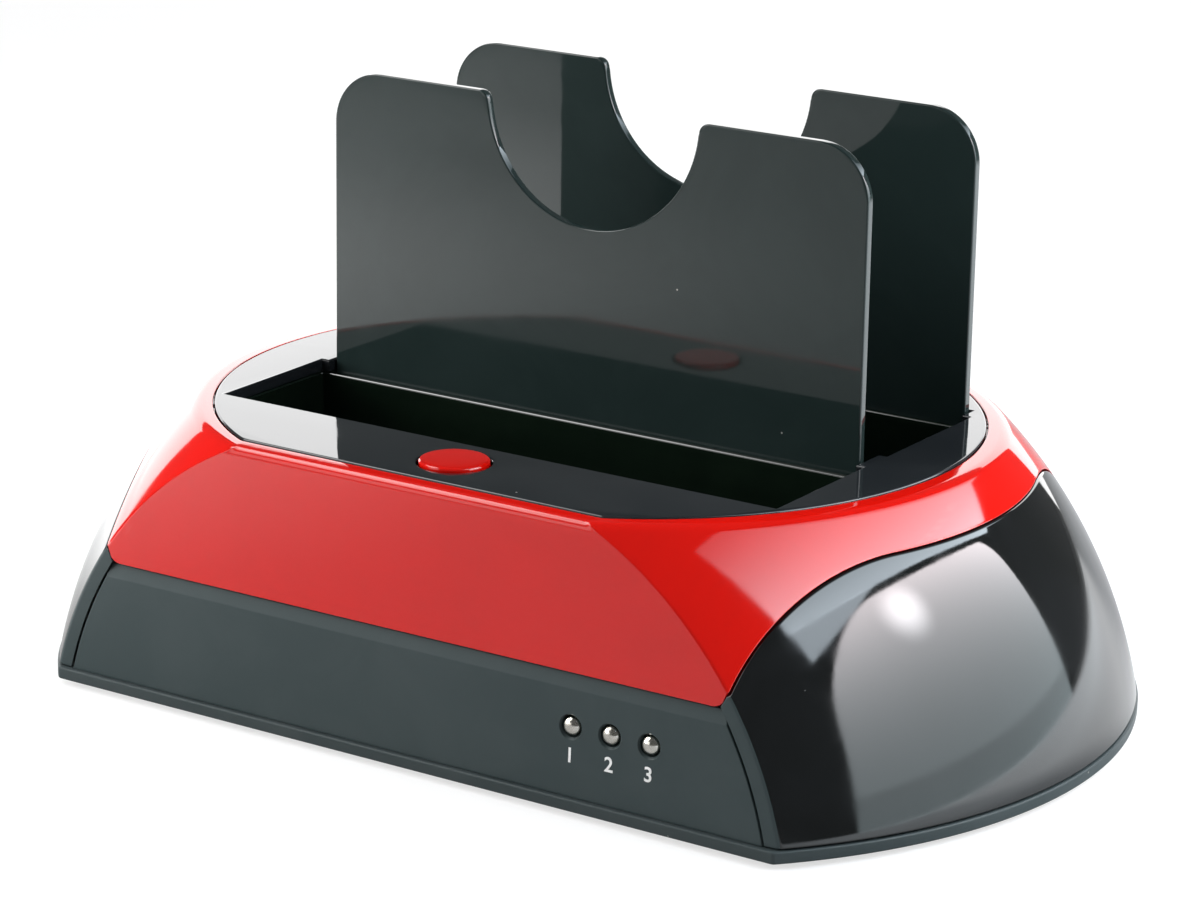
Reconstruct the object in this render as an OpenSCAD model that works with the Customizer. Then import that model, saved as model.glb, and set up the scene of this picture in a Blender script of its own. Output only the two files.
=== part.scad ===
// Desktop dock for two bare hard drives: a low domed housing with an open twin bay,
// two upright guide boards that lift out, a round push button, three status lights
// and a rear panel of sockets.
// Lengths are in millimetres. X runs along the length, the front faces -Y and Z is up.
// The origin is on the table, under the middle of the housing.

/* [Housing] */
// distance from the middle to the centre of each round end
end_centre = 8.4; // [7.5:0.1:9.5]
// radius of the round ends at the bottom edge, beyond half the length of the bays
end_low_room = 29.5; // [28:0.1:31.5]
// radius of the round ends at deck level, beyond half the length of the bays
end_high_room = 5.8; // [5.5:0.1:6.5]
// radius of the upright bulge of the round ends
end_bulge = 84; // [80:1:120]
// height from the underside of the tray to the deck
deck_height = 45.5; // [45:0.5:50]
// distance from the front well to the front face at the bottom
front_room = 22.1; // [21.8:0.1:24]
// lean of the front and rear faces from upright, in degrees
face_lean = 2.1; // [1:0.1:2.3]
// width of the sloped rim of the top cover
rim_width = 3.1; // [2.8:0.05:3.2]
// height that the rim falls from the deck to its outer edge
rim_drop = 1.1; // [0.6:0.1:1.6]
// wall thickness of the cover and the end shells
wall = 1.9; // [1.6:0.1:2.2]
// width of the dark seams between the covers
seam = 0.25; // [0.2:0.05:0.35]
// height from the underside of the tray to the lower edge of the top cover
cover_low = 21.6; // [21.6:0.1:22.6]

/* [Arches] */
// height from the top of the end arches up to the deck
arch_drop = 6.25; // [5.5:0.25:7.5]
// distance from the front and rear faces to where the shoulders of an arch begin
arch_side = 32.3; // [31:0.1:36]
// radius of the shoulders of an arch
arch_shoulder = 40; // [38:0.5:43]
// distance from the corner of the housing in to where an arch begins
arch_set_in = 2; // [1:0.1:2.2]

/* [Panels] */
// thickness of the front and rear panels
panel_thick = 2; // [1.6:0.1:2.2]
// gap between the top of the panels and the top cover
panel_gap = 0.3; // [0.3:0.1:1]
// height of the bevel along the top of the panels
panel_bevel = 2.2; // [1.4:0.1:2.6]
// depth of that bevel
panel_bevel_depth = 0.9; // [0.6:0.1:1.3]

/* [Deck and bays] */
// distance from the centre of each round end of the housing in to that of the deck
deck_shift = 2; // [1.5:0.1:2.4]
// difference between the radius of the housing's round ends and that of the deck's
deck_round = 1.1; // [0.8:0.1:1.5]
// thickness of the deck
deck_thick = 2.2; // [2:0.1:2.6]
// width of the ledge that carries the deck
ledge_width = 2.4; // [2:0.1:2.8]
// thickness of that ledge
ledge_thick = 2; // [1.6:0.1:2.4]
// distance from the end of a guide board's seat to the end of the bays
bay_room = 1.45; // [1:0.05:1.8]
// height of the wells' floor above the circuit board
well_lift = 5.9; // [5.5:0.1:8]
// distance from the middle to the front wall of the front bay
bay_front = 31.4; // [31:0.1:32]
// clear width of the front bay
front_bay_width = 26.4; // [26.3:0.1:26.8]
// clear width of the rear bay
rear_bay_width = 27.4; // [26.6:0.1:27.6]
// thickness of the thin wall between a bay and its guide board
bay_wall = 1.2; // [1:0.1:1.4]
// gap between the two wells
well_gap = 0.4; // [0.3:0.05:0.6]
// free space between the wells and the ledge of the top cover
well_clear = 0.4; // [0.3:0.05:0.5]
// thickness of the outer walls and floors of the wells
tub_wall = 1.6; // [1.4:0.1:1.8]

/* [Guide boards] */
// width of a guide board
guide_width = 101.5; // [100:0.5:102]
// thickness of a guide board
guide_thick = 1.6; // [1.4:0.1:1.8]
// height of a guide board above the deck
guide_rise = 49.7; // [45:0.1:55]
// depth of a guide board's seat below the deck
guide_seat = 24; // [20:0.5:25]
// free space around a guide board in its seat
guide_gap = 0.3; // [0.3:0.05:0.4]
// radius of the upper outer corners
guide_corner = 9; // [7:0.5:11]
// radius of the finger notch
notch_radius = 20; // [18:0.5:23]
// radius of the rounded lips of the finger notch
notch_lip = 1.75; // [1.5:0.25:2.5]

/* [Button] */
// radius of the push button
button_radius = 5.6; // [5:0.1:6]
// free space between the front well and the button's flange
button_room = 0.8; // [0.4:0.1:1.4]
// height of the button's edge above the deck
button_proud = 0.6; // [0.5:0.1:1]
// height of the domed top of the button
button_dome = 0.5; // [0.3:0.1:0.8]
// free space around the button
button_gap = 0.3; // [0.3:0.05:0.4]
// thickness of the flange that keeps the button in
button_flange = 1; // [0.8:0.1:1.2]
// width of that flange
button_flange_width = 1.1; // [0.9:0.1:1.2]
// distance that the button travels
button_travel = 0.8; // [0.6:0.1:1]
// height of the push switch's plunger
plunger_height = 1; // [0.8:0.1:1.2]
// radius of the push switch's plunger
plunger_radius = 1.7; // [1.4:0.1:1.8]
// height of the push switch's case
switch_height = 3.4; // [3:0.1:3.8]
// side of the push switch's case
switch_side = 6; // [5.5:0.1:6.5]
// length of the small board under the button
button_board_length = 27; // [25:0.5:30]
// depth of the small board under the button
button_board_depth = 10; // [8:0.5:11]
// thickness of the small board
button_board_thick = 1.2; // [1:0.1:1.6]
// distance from the button to each of its two board screws
button_screw_x = 10; // [9.5:0.1:11]
// radius of the pillars that carry the small board
button_pillar = 2.3; // [2.1:0.1:2.6]

/* [Lights] */
// radius of a light
light_radius = 1.6; // [1.4:0.05:1.7]
// distance that a light stands out of the panel
light_proud = 0.7; // [0.5:0.1:1]
// height of the lights above the underside of the tray
light_height = 13.15; // [12.5:0.05:13.5]
// distance from the middle to the middle light
light_x = 38.6; // [37:0.1:40]
// distance between two lights
light_pitch = 7; // [6.5:0.1:7.5]
// length of a light from its tip to its collar
light_length = 5.2; // [5:0.1:6]
// thickness of the collar at the back of a light
light_collar = 1; // [0.8:0.1:1.2]
// width of the collar
light_collar_width = 0.4; // [0.3:0.05:0.5]
// side of a light's wire leads
lead_side = 0.5; // [0.4:0.05:0.6]
// distance between the two leads of a light
lead_pitch = 2.5; // [2.3:0.1:2.6]
// distance from the collar to the bend in the leads
lead_reach = 4; // [3.5:0.1:4.4]

/* [Tray, feet and screws] */
// thickness of the tray's floor, which shows as its edge
tray_floor = 2; // [1.8:0.1:2.4]
// distance that the tray's edge stands out in front of the panels
tray_lip = 0.85; // [0.5:0.05:1]
// height of the rib inside the tray's edge
tray_rib = 3; // [2:0.1:3]
// thickness of that rib
tray_rib_thick = 1.4; // [1.2:0.1:1.8]
// length of a vent slot between its round ends
vent_length = 24; // [20:1:28]
// width of a vent slot
vent_width = 2; // [1.5:0.25:2.5]
// distance between the two rows of vent slots
vent_gap = 34; // [28:1:36]
// number of vent slots in a row
vent_count = 6; // [4:1:7]
// distance between two vent slots
vent_pitch = 6; // [5:0.25:7]
// height of the feet below the tray
foot_drop = 1; // [0.8:0.1:1.5]
// radius of a foot
foot_radius = 5.5; // [5:0.25:6]
// depth of a foot's recess in the tray
foot_recess = 0.8; // [0.6:0.1:1]
// distance from the middle to the feet along the length
foot_x = 57; // [55:0.5:59]
// distance from the front and rear faces to the centre of a foot
foot_edge = 15.1; // [13:0.1:17]
// free space between the wells and the cover's screw posts
post_clear = 1.1; // [0.9:0.1:1.5]
// distance from the middle to the cover's screw posts across the depth
post_y = 14; // [10:0.5:15]
// radius of a screw post
post_radius = 3.4; // [3.2:0.1:3.6]
// angle of the end shell's screw posts from the length, in degrees
shell_post_angle = 20; // [17:0.5:24]
// height of an end shell's screw post
shell_post_height = 15; // [14:0.5:17]
// height of the tray's bosses under the posts
boss_height = 2; // [1.6:0.1:2.4]
// extra radius of a boss beyond its post
boss_extra = 0.8; // [0.5:0.1:1]
// radius of a case screw's shank
screw_radius = 1.4; // [1.2:0.05:1.5]
// length of a case screw's shank
screw_length = 10; // [8:0.5:11]
// radius of a case screw's head
screw_head_radius = 2.8; // [2.5:0.1:3]
// height of a case screw's head
screw_head = 1.7; // [1.4:0.1:2]
// depth of the screw head's sink in the tray
screw_sink = 2.1; // [1.9:0.05:2.2]
// free space around a screw in its hole
screw_gap = 0.1; // [0.05:0.05:0.15]
// width of the cross slots in the screw heads
cross_width = 0.7; // [0.5:0.05:0.8]
// depth of those cross slots
cross_depth = 0.8; // [0.6:0.05:0.9]
// length of those cross slots as a share of the screw head
cross_share = 0.6; // [0.5:0.05:0.7]

/* [Circuit board] */
// free space between the circuit board and the cover's screw posts
circuit_clear = 1.7; // [1.2:0.1:2.5]
// distance from the front face to the board's front edge
circuit_front_gap = 8.1; // [7.6:0.1:8.6]
// distance from the rear face to the board's rear edge
circuit_back_gap = 5.1; // [4.9:0.1:5.6]
// thickness of the circuit board
circuit_thick = 1.6; // [1.4:0.1:1.8]
// height of the pillars that carry the board
pillar_height = 3; // [2.6:0.1:3.2]
// radius of those pillars
pillar_radius = 3; // [2.6:0.1:3.2]
// distance from the board's short edges to the board screws
board_screw_side = 5.5; // [4.5:0.5:6.5]
// distance from the board's front edge to the front board screws
board_screw_edge = 7; // [6:0.5:8]
// distance from the middle to the rear board screws
board_screw_back = 16; // [14:0.5:18]
// radius of a board screw's shank
small_screw_radius = 1; // [0.9:0.05:1.1]
// length of a board screw's shank
small_screw_length = 4; // [3.6:0.1:4.2]
// radius of a board screw's head
small_head_radius = 2; // [1.8:0.1:2.1]
// height of a board screw's head
small_head = 1.3; // [1.1:0.1:1.5]
// side of the largest chip
chip_side = 12; // [10:0.5:13]
// side of the two smaller chips
chip_small = 8; // [6:0.5:9]
// distance from the middle to the chips
chip_x = 24; // [20:0.5:28]
// height of the chips
chip_height = 1.4; // [1:0.1:1.6]
// radius of a capacitor
capacitor_radius = 3.1; // [2.8:0.1:3.3]
// height of a capacitor
capacitor_height = 8; // [6:0.5:10]
// distance between two capacitors
capacitor_pitch = 9; // [8:0.5:10]

/* [Drive sockets] */
// length of a drive socket
socket_length = 44; // [42:0.5:46]
// depth of a drive socket
socket_depth = 6; // [5.6:0.1:6.4]
// distance from the middle to a drive socket's centre
socket_x = 20; // [18:0.5:22]
// distance from a well's rear wall to the centre of its drive socket
socket_back = 5; // [4.5:0.1:6]
// height of a drive socket above the floor of its well
socket_rise = 5; // [4:0.25:6]
// free space around a drive socket in the well's floor
socket_gap = 0.4; // [0.3:0.05:0.5]
// width of the slots for the drive's blades
blade_width = 1.8; // [1.6:0.1:2]
// length of the slot for the power blade
power_blade = 21.5; // [21:0.1:22]
// length of the slot for the data blade
data_blade = 11; // [10.5:0.1:11.5]
// distance between those two slots
blade_spacing = 2.4; // [2.2:0.1:2.8]
// depth of those slots
blade_depth = 4.6; // [4:0.1:5]
// side of the key at the end of those slots
blade_key = 1.2; // [1:0.1:1.4]
// number of contacts in the power slot
power_contacts = 15; // [12:1:15]
// number of contacts in the data slot
data_contacts = 7; // [5:1:7]
// distance between two contacts
contact_pitch = 1.27; // [1.2:0.01:1.3]
// width of a contact
contact_width = 0.7; // [0.5:0.05:0.8]
// thickness of a contact
contact_thick = 0.35; // [0.25:0.05:0.4]

/* [Rear sockets] */
// free space around a socket in the rear panel
port_gap = 0.3; // [0.25:0.05:0.4]
// position of the power jack along the length
jack_x = 46; // [45.5:0.1:46.5]
// side of the power jack's case
jack_width = 9; // [8.5:0.1:9.5]
// height of the power jack's case
jack_height = 11; // [10.5:0.1:11.2]
// length of the power jack's case
jack_length = 14; // [12:0.5:14.5]
// radius of the power jack's bore
jack_bore = 3; // [2.8:0.1:3.2]
// radius of the power jack's pin
jack_pin_radius = 1; // [0.9:0.05:1.25]
// depth of the power jack's bore
jack_depth = 9.5; // [8:0.5:10]
// position of the power switch along the length
rocker_x = 30; // [29.5:0.1:30.5]
// length of the power switch's opening
rocker_length = 13; // [12.5:0.1:13.5]
// height of the power switch's opening
rocker_height = 8.4; // [8:0.1:8.8]
// wall thickness of the power switch's case
rocker_wall = 1; // [0.8:0.1:1.2]
// width of the power switch's frame around the opening
rocker_frame = 1.8; // [1.6:0.1:2]
// thickness of that frame outside the panel
rocker_frame_thick = 1; // [0.8:0.1:1]
// depth of the power switch's case behind the panel
rocker_case = 12; // [11:0.5:13]
// free space around the rocker
rocker_gap = 0.35; // [0.3:0.05:0.4]
// angle between the two faces of the rocker, each way from flat, in degrees
rocker_slope = 7; // [5:0.5:8]
// distance that the middle of the rocker stands in from the outside of its frame
rocker_inset = 1.4; // [1.3:0.05:1.8]
// thickness of the rocker at its ends
rocker_thick = 3.2; // [2.8:0.1:3.6]
// distance from the middle of the rocker's face in to its pivot
rocker_pivot = 1.6; // [1.4:0.1:1.8]
// radius of the rocker's pivot pins
rocker_pin = 0.9; // [0.8:0.05:1]
// free space around those pins
rocker_pin_gap = 0.06; // [0.04:0.01:0.08]
// distance that the rocker's back is narrower at each end than its face
rocker_taper = 0.5; // [0.4:0.05:0.6]
// position of the data socket along the length
data_x = 14; // [13.5:0.1:14.5]
// width of the data socket
data_width = 12; // [11.5:0.1:12.2]
// height of the data socket
data_height = 11; // [10.5:0.1:11.2]
// size of the sloped upper corners of the data socket
data_corner = 2.6; // [2:0.1:3]
// length of the data socket
data_length = 15; // [13:0.5:16]
// position of the first hub socket along the length
hub_x = -2; // [-2.5:0.1:-1.5]
// distance between the two hub sockets
hub_pitch = 17; // [16.5:0.1:17.5]
// width of a hub socket
hub_width = 14.4; // [14:0.1:14.6]
// height of a hub socket
hub_height = 7; // [6.6:0.1:7.2]
// length of a hub socket
hub_length = 14; // [12:0.5:15]
// thickness of the sheet metal of the sockets
sheet = 0.5; // [0.4:0.05:0.6]
// thickness of the tongues in the sockets
tongue_thick = 2; // [1.6:0.1:2.2]
// free space between a tongue and the sides of its socket
tongue_gap = 1.2; // [1:0.1:1.5]
// distance from a socket's mouth to its tongue
tongue_set_back = 1; // [0.8:0.1:1.5]
// position of the card slot along the length
card_x = -41; // [-41.5:0.1:-40.5]
// width of the card slot's case
card_width = 24.6; // [24:0.1:25]
// height of the card slot's case
card_height = 3.8; // [3.4:0.1:3.9]
// length of the card slot's case
card_length = 24; // [20:0.5:26]
// width of the slot for a card
card_mouth = 23; // [22.5:0.1:23.2]
// height of the slot for a card
card_mouth_height = 2.5; // [2.3:0.1:2.6]
// depth of the slot for a card
card_depth = 20; // [16:0.5:22]

/* [Hidden] */
// smoothness of the large and the small round shapes
fine = 160;
medium = 64;
// a cut runs this far past the surface that it opens
past = 1;
// a length beyond the whole housing
beyond = 260;

// levels, from the table up
tray_z = foot_drop;
floor_z = tray_z + tray_floor;
cover_z = tray_z + cover_low;
panel_top = cover_z - panel_gap;
deck_z = tray_z + deck_height;
deck_under = deck_z - deck_thick;
ledge_z = deck_under - ledge_thick;
seat_z = deck_z - guide_seat;
guide_low = seat_z + guide_gap;
guide_top = deck_z + guide_rise;
circuit_z = floor_z + pillar_height;
circuit_top = circuit_z + circuit_thick;
well_z = circuit_top + well_lift;
well_under = well_z - tub_wall;
arch_top = deck_z - arch_drop;
boss_top = floor_z + boss_height;
light_z = tray_z + light_height;

// bays and guide boards, from front to back
half_seat = guide_width / 2 + guide_gap;
half_bay = half_seat + bay_room;
front_bay = -bay_front;
front_bay_back = front_bay + front_bay_width;
front_seat = front_bay_back + bay_wall;
front_seat_back = front_seat + guide_thick + 2 * guide_gap;
rear_bay = front_seat_back + 2 * tub_wall + well_gap;
rear_bay_back = rear_bay + rear_bay_width;
rear_seat = rear_bay_back + bay_wall;
rear_seat_back = rear_seat + guide_thick + 2 * guide_gap;
tub_half = half_bay + tub_wall;
tub_front = front_bay - tub_wall;
tub_back = rear_seat_back + tub_wall;

// radii of the round ends and half depth of the faces at the bottom
end_radius_low = half_bay + end_low_room;
end_radius_high = half_bay + end_high_room;
face_half_depth = front_room - tub_front;

// centre of the arc that shapes the round ends
chord_run = end_radius_low - end_radius_high;
chord = sqrt(pow(chord_run, 2) + pow(deck_height, 2));
chord_sag = sqrt(pow(end_bulge, 2) - pow(chord / 2, 2));
bulge_r = (end_radius_low + end_radius_high) / 2 - chord_sag * deck_height / chord;
bulge_z = tray_z + deck_height / 2 - chord_sag * chord_run / chord;

// half depth of the housing at a height, radius of its round ends there and half length of its faces
function face_y(z) = face_half_depth - (z - tray_z) * tan(face_lean);
function end_r(z) = bulge_r + sqrt(pow(end_bulge, 2) - pow(z - bulge_z, 2));
function corner_x(z) = end_centre + sqrt(pow(end_r(z), 2) - pow(face_y(z), 2));

// where the end arches begin, and the outline of the deck
arch_start = corner_x(cover_z) - arch_set_in;
arch_flat = face_half_depth - arch_side;
deck_centre = end_centre - deck_shift;
deck_radius = end_radius_high - deck_round;
deck_half_depth = face_y(deck_z - rim_drop) - rim_width - seam;

// where the power and data slots of a drive socket begin along the length, and its top
blade_start = -socket_x - (power_blade + data_blade + blade_spacing) / 2;
data_start = blade_start + power_blade + blade_spacing;
socket_top = well_z + socket_rise;

// place of the button, and heights under it from the deck down
button_y = button_room + button_flange_width + button_radius - tub_front;
button_low = deck_under - button_gap - button_flange;
plunger_top = button_low - button_travel - button_gap;
button_board_top = plunger_top - plunger_height - switch_height;

// outside of the rear panel at the height of the sockets
port_y = face_half_depth - (circuit_top + hub_height / 2 - tray_z) * tan(face_lean);
rocker_z = circuit_top + jack_height / 2;
jack_z = circuit_top + jack_height / 2;
rocker_y = port_y + rocker_frame_thick - rocker_inset - rocker_pivot;

// positions of the circuit board, the four feet and the screws
foot_y = face_half_depth - foot_edge;
post_x = tub_half + post_clear + post_radius;
shell_post_reach = end_r(boss_top + shell_post_height) - post_radius;
circuit_half = post_x - post_radius - circuit_clear;
circuit_front = face_half_depth - circuit_front_gap;
circuit_back = face_half_depth - circuit_back_gap;
board_screw_x = circuit_half - board_screw_side;
board_screw_front = circuit_front - board_screw_edge;
foot_spots = [for (sx = [-1, 1], sy = [-1, 1]) [sx * foot_x, sy * foot_y]];
post_spots = [for (sx = [-1, 1], sy = [-1, 1]) [sx * post_x, sy * post_y]];
shell_spots = [for (sx = [-1, 1], sy = [-1, 1])
    [sx * (end_centre + shell_post_reach * cos(shell_post_angle)),
     sy * shell_post_reach * sin(shell_post_angle)]];
board_spots = [for (sx = [-1, 1], y = [-board_screw_front, board_screw_back]) [sx * board_screw_x, y]];
button_spots = [for (sx = [-1, 1]) [sx * button_screw_x, -button_y]];

// the corner that the sloped rim takes off at an outer edge; side is 1 or -1
module rim_cut(reach, high, side) {
    outer = [side * reach, high - rim_drop];
    inner = [side * (reach - rim_width), high];
    way = outer - inner;
    polygon([inner - way, outer + way, [side * (reach + 2 * rim_width), high + rim_width]]);
}

// outline of a round end in the plane of its axis, with or without the sloped rim
module end_profile(inset, low, high, rim = false) {
    difference() {
        intersection() {
            translate([bulge_r, bulge_z]) circle(r = end_bulge - inset, $fn = fine);
            translate([0, low]) square([beyond, high - low]);
        }
        if (rim)
            rim_cut(end_r(high - rim_drop) - inset, high, 1);
    }
}

// outline of the leaning front and rear faces, seen along the length
module side_profile(inset, low, high, rim = false) {
    difference() {
        polygon([[inset - face_y(low), low], [face_y(low) - inset, low],
            [face_y(high) - inset, high], [inset - face_y(high), high]]);
        if (rim)
            for (side = [-1, 1]) rim_cut(face_y(high - rim_drop) - inset, high, side);
    }
}

// a shape drawn in Y and Z and drawn out along X
module along_x(from, to) {
    translate([from, 0, 0]) rotate([90, 0, 90]) linear_extrude(height = to - from) children();
}

// a shape drawn in X and Z and drawn out along Y
module along_y(from, to) {
    translate([0, to, 0]) rotate([90, 0, 0]) linear_extrude(height = to - from) children();
}

// one round end as a solid
module round_end(side, inset, low, high, rim = false) {
    translate([side * end_centre, 0, 0])
        rotate_extrude($fn = fine) end_profile(inset, low, high, rim);
}

// both round ends joined
module round_ends(inset, low, high, rim = false) {
    for (side = [-1, 1]) round_end(side, inset, low, high, rim);
}

// the whole domed form between two heights
module form(inset, low, high, rim = false) {
    intersection() {
        round_ends(inset, low, high, rim);
        along_x(-beyond / 2, beyond / 2) side_profile(inset, low, high, rim);
    }
}

// the area under an end arch
module arch(inset) {
    translate([-arch_flat, 0]) square([2 * arch_flat, arch_top - inset]);
    for (side = [-1, 1])
        translate([side * arch_flat, arch_top - arch_shoulder])
            circle(r = arch_shoulder - inset, $fn = fine);
}

// outline of the deck
module deck_outline(grow) {
    intersection() {
        union()
            for (side = [-1, 1])
                translate([side * deck_centre, 0]) circle(r = deck_radius + grow, $fn = fine);
        square([beyond, 2 * (deck_half_depth + grow)], center = true);
    }
}

// a block between two corners
module block(low, high) {
    translate(low) cube(high - low);
}

// an upright round bar
module bar(spot, radius, low, high) {
    translate([spot[0], spot[1], low]) cylinder(r = radius, h = high - low, $fn = medium);
}

// a round bar along Y
module bar_y(spot, radius, from, to) {
    translate([spot[0], from, spot[1]]) rotate([-90, 0, 0]) cylinder(r = radius, h = to - from, $fn = medium);
}

// two crossed slots for a screwdriver
module cross(radius, low, high) {
    for (turn = [0, 90])
        rotate(turn) block([-radius * cross_share, -cross_width / 2, low],
            [radius * cross_share, cross_width / 2, high]);
}

// a vent slot with round ends, through the tray's floor
module vent(spot) {
    translate([spot[0], spot[1], 0]) {
        block([-vent_length / 2, -vent_width / 2, tray_z - past],
            [vent_length / 2, vent_width / 2, floor_z + past]);
        for (end = [-1, 1])
            bar([end * vent_length / 2, 0], vent_width / 2, tray_z - past, floor_z + past);
    }
}

// floor with an edge strip, a locating rib, bosses, pillars, vents and foot recesses
module base_tray() {
    rib_inset = max(wall, panel_thick) + 2 * seam;
    color([0.06, 0.06, 0.065]) difference() {
        union() {
            intersection() {
                round_ends(0, tray_z, floor_z);
                block([-beyond / 2, -face_half_depth - tray_lip, tray_z - past],
                    [beyond / 2, face_half_depth + tray_lip, floor_z + past]);
            }
            difference() {
                form(rib_inset, tray_z + tray_floor / 2, floor_z + tray_rib);
                form(rib_inset + tray_rib_thick, tray_z, floor_z + tray_rib + past);
            }
            for (spot = concat(post_spots, shell_spots))
                bar(spot, post_radius + boss_extra, floor_z - tray_floor / 2, boss_top);
            for (spot = board_spots)
                bar(spot, pillar_radius, floor_z - tray_floor / 2, circuit_z);
        }
        for (spot = concat(post_spots, shell_spots)) {
            bar(spot, screw_radius + 2 * screw_gap, tray_z - past, boss_top + past);
            bar(spot, screw_head_radius + 2 * screw_gap, tray_z - past, tray_z + screw_sink);
        }
        for (spot = board_spots)
            bar(spot, small_screw_radius + screw_gap, floor_z, circuit_z + past);
        for (spot = foot_spots)
            bar(spot, foot_radius + screw_gap, tray_z - past, tray_z + foot_recess);
        for (row = [-1, 1], i = [0 : vent_count - 1])
            vent([row * (vent_length + vent_width + vent_gap) / 2, (i - (vent_count - 1) / 2) * vent_pitch]);
    }
}

// four round feet with a soft lower edge
module feet() {
    color([0.1, 0.1, 0.1])
        for (spot = foot_spots) {
            bar(spot, foot_radius, foot_drop / 2, tray_z + foot_recess);
            bar(spot, foot_radius - foot_drop / 2, 0, foot_drop);
        }
}

// a black end shell, cut to the arch and standing on the tray's edge
module end_shell(side) {
    low = floor_z + seam;
    high = arch_top + past;
    spots = [for (spot = shell_spots) if (side * spot[0] > 0) spot];
    color([0.03, 0.03, 0.035]) difference() {
        union() {
            intersection() {
                difference() {
                    round_end(side, 0, low, high);
                    round_end(side, wall, low - past, high + past);
                }
                along_x(-beyond / 2, beyond / 2) side_profile(0, low, high);
                mirror([side < 0 ? 1 : 0, 0, 0]) {
                    along_x(arch_start + seam, beyond / 2) arch(seam);
                    block([0, -beyond / 2, low - past], [beyond / 2, beyond / 2, panel_top]);
                }
            }
            intersection() {
                for (spot = spots)
                    bar(spot, post_radius, boss_top, boss_top + shell_post_height);
                round_end(side, wall / 2, tray_z, high);
            }
        }
        for (spot = spots)
            bar(spot, screw_radius + screw_gap, boss_top - past, boss_top + screw_length);
    }
}

// right end shell
module shell_right() {
    end_shell(1);
}

// left end shell
module shell_left() {
    end_shell(-1);
}

// red saddle with a sloped rim, a ledge for the deck, end arches and screw posts
module top_cover() {
    color([0.78, 0.05, 0.02]) difference() {
        union() {
            difference() {
                form(0, cover_z, deck_z, true);
                form(wall, cover_z - past, ledge_z);
                translate([0, 0, deck_under]) linear_extrude(height = deck_thick + past) deck_outline(seam);
                translate([0, 0, ledge_z - past]) linear_extrude(height = ledge_thick + 2 * past)
                    deck_outline(-ledge_width);
                block([-tub_half - well_clear, tub_front - well_clear, ledge_z - past],
                    [tub_half + well_clear, tub_back + well_clear, deck_under]);
                for (side = [0, 1])
                    mirror([side, 0, 0]) along_x(arch_start, beyond / 2) arch(0);
            }
            for (spot = post_spots)
                bar(spot, post_radius, boss_top, deck_under);
        }
        for (spot = post_spots)
            bar(spot, screw_radius + screw_gap, boss_top - past, boss_top + screw_length);
    }
}

// a long panel with a bevelled top, fitted between the end shells, on the front or rear face
module face_panel(side) {
    low = floor_z;
    high = panel_top;
    bevel = high - panel_bevel;
    intersection() {
        round_ends(wall + seam, low, high);
        along_x(-beyond / 2, beyond / 2)
            polygon([[side * face_y(low), low], [side * face_y(bevel), bevel],
                [side * (face_y(bevel) - panel_bevel_depth), high],
                [side * (face_y(bevel) - panel_thick), high],
                [side * (face_y(low) - panel_thick), low]]);
    }
}

// spots of the three lights
function light_at(i) = [light_x + (i - 2) * light_pitch, light_z];

// grey front panel with three light holes
module front_panel() {
    color([0.22, 0.24, 0.25]) difference() {
        face_panel(-1);
        for (i = [1 : 3])
            bar_y(light_at(i), light_radius + 2 * screw_gap, -face_half_depth - past, past - deck_half_depth);
    }
}

// outline of the data socket, drawn in or out by an inset, with sloped upper corners
module data_outline(inset) {
    half = data_width / 2 - inset;
    low = circuit_top + inset;
    top = circuit_top + data_height - inset;
    slope = data_corner - inset * (2 - sqrt(2));
    translate([data_x, 0]) polygon([[-half, low], [half, low], [half, top - slope], [half - slope, top],
        [slope - half, top], [-half, top - slope]]);
}

// opening for a socket in the rear panel
module port_hole(x, low, width, height) {
    block([x - width / 2 - port_gap, deck_half_depth, low - port_gap],
        [x + width / 2 + port_gap, face_half_depth + past, low + height + port_gap]);
}

// rear panel with its socket openings
module rear_panel() {
    color([0.1, 0.1, 0.11]) difference() {
        face_panel(1);
        port_hole(jack_x, circuit_top, jack_width, jack_height);
        along_y(deck_half_depth, face_half_depth + past) data_outline(-port_gap);
        for (i = [0, 1]) port_hole(hub_x - i * hub_pitch, circuit_top, hub_width, hub_height);
        port_hole(card_x, circuit_top, card_width, card_height);
        port_hole(rocker_x, rocker_z - rocker_height / 2 - rocker_wall,
            rocker_length + 2 * rocker_wall, rocker_height + 2 * rocker_wall);
    }
}

// flat deck with the bay opening, the button hole and two pillars for the small board
module deck() {
    color([0.03, 0.03, 0.035]) difference() {
        union() {
            translate([0, 0, deck_under]) linear_extrude(height = deck_thick) deck_outline(0);
            for (spot = button_spots)
                bar(spot, button_pillar, button_board_top, deck_under + past);
        }
        for (bay = [[front_bay, front_bay_back], [rear_bay, rear_bay_back]])
            block([-half_bay, bay[0], deck_under - past], [half_bay, bay[1], deck_z + past]);
        block([-half_seat, front_bay, deck_under - past], [half_seat, rear_seat_back, deck_z + past]);
        bar([0, -button_y], button_radius + button_gap, deck_under - past, deck_z + past);
        for (spot = button_spots)
            bar(spot, small_screw_radius + screw_gap, button_board_top - past, deck_under);
    }
}

// a drive well below the deck, with the seat of its guide board along its rear wall
module well(front, back) {
    seat = back + bay_wall;
    seat_back = seat + guide_thick + 2 * guide_gap;
    color([0.03, 0.03, 0.035]) difference() {
        block([-tub_half, front - tub_wall, well_under], [tub_half, seat_back + tub_wall, deck_under]);
        block([-half_bay, front, well_z], [half_bay, back, deck_under + past]);
        block([-half_seat, seat, seat_z], [half_seat, seat_back, deck_under + past]);
        translate([-socket_x, back - socket_back, 0])
            block([-socket_length / 2 - socket_gap, -socket_depth / 2 - socket_gap, well_under - past],
                [socket_length / 2 + socket_gap, socket_depth / 2 + socket_gap, well_z + past]);
    }
}

// well of the front bay
module well_front() {
    well(front_bay, front_bay_back);
}

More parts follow.
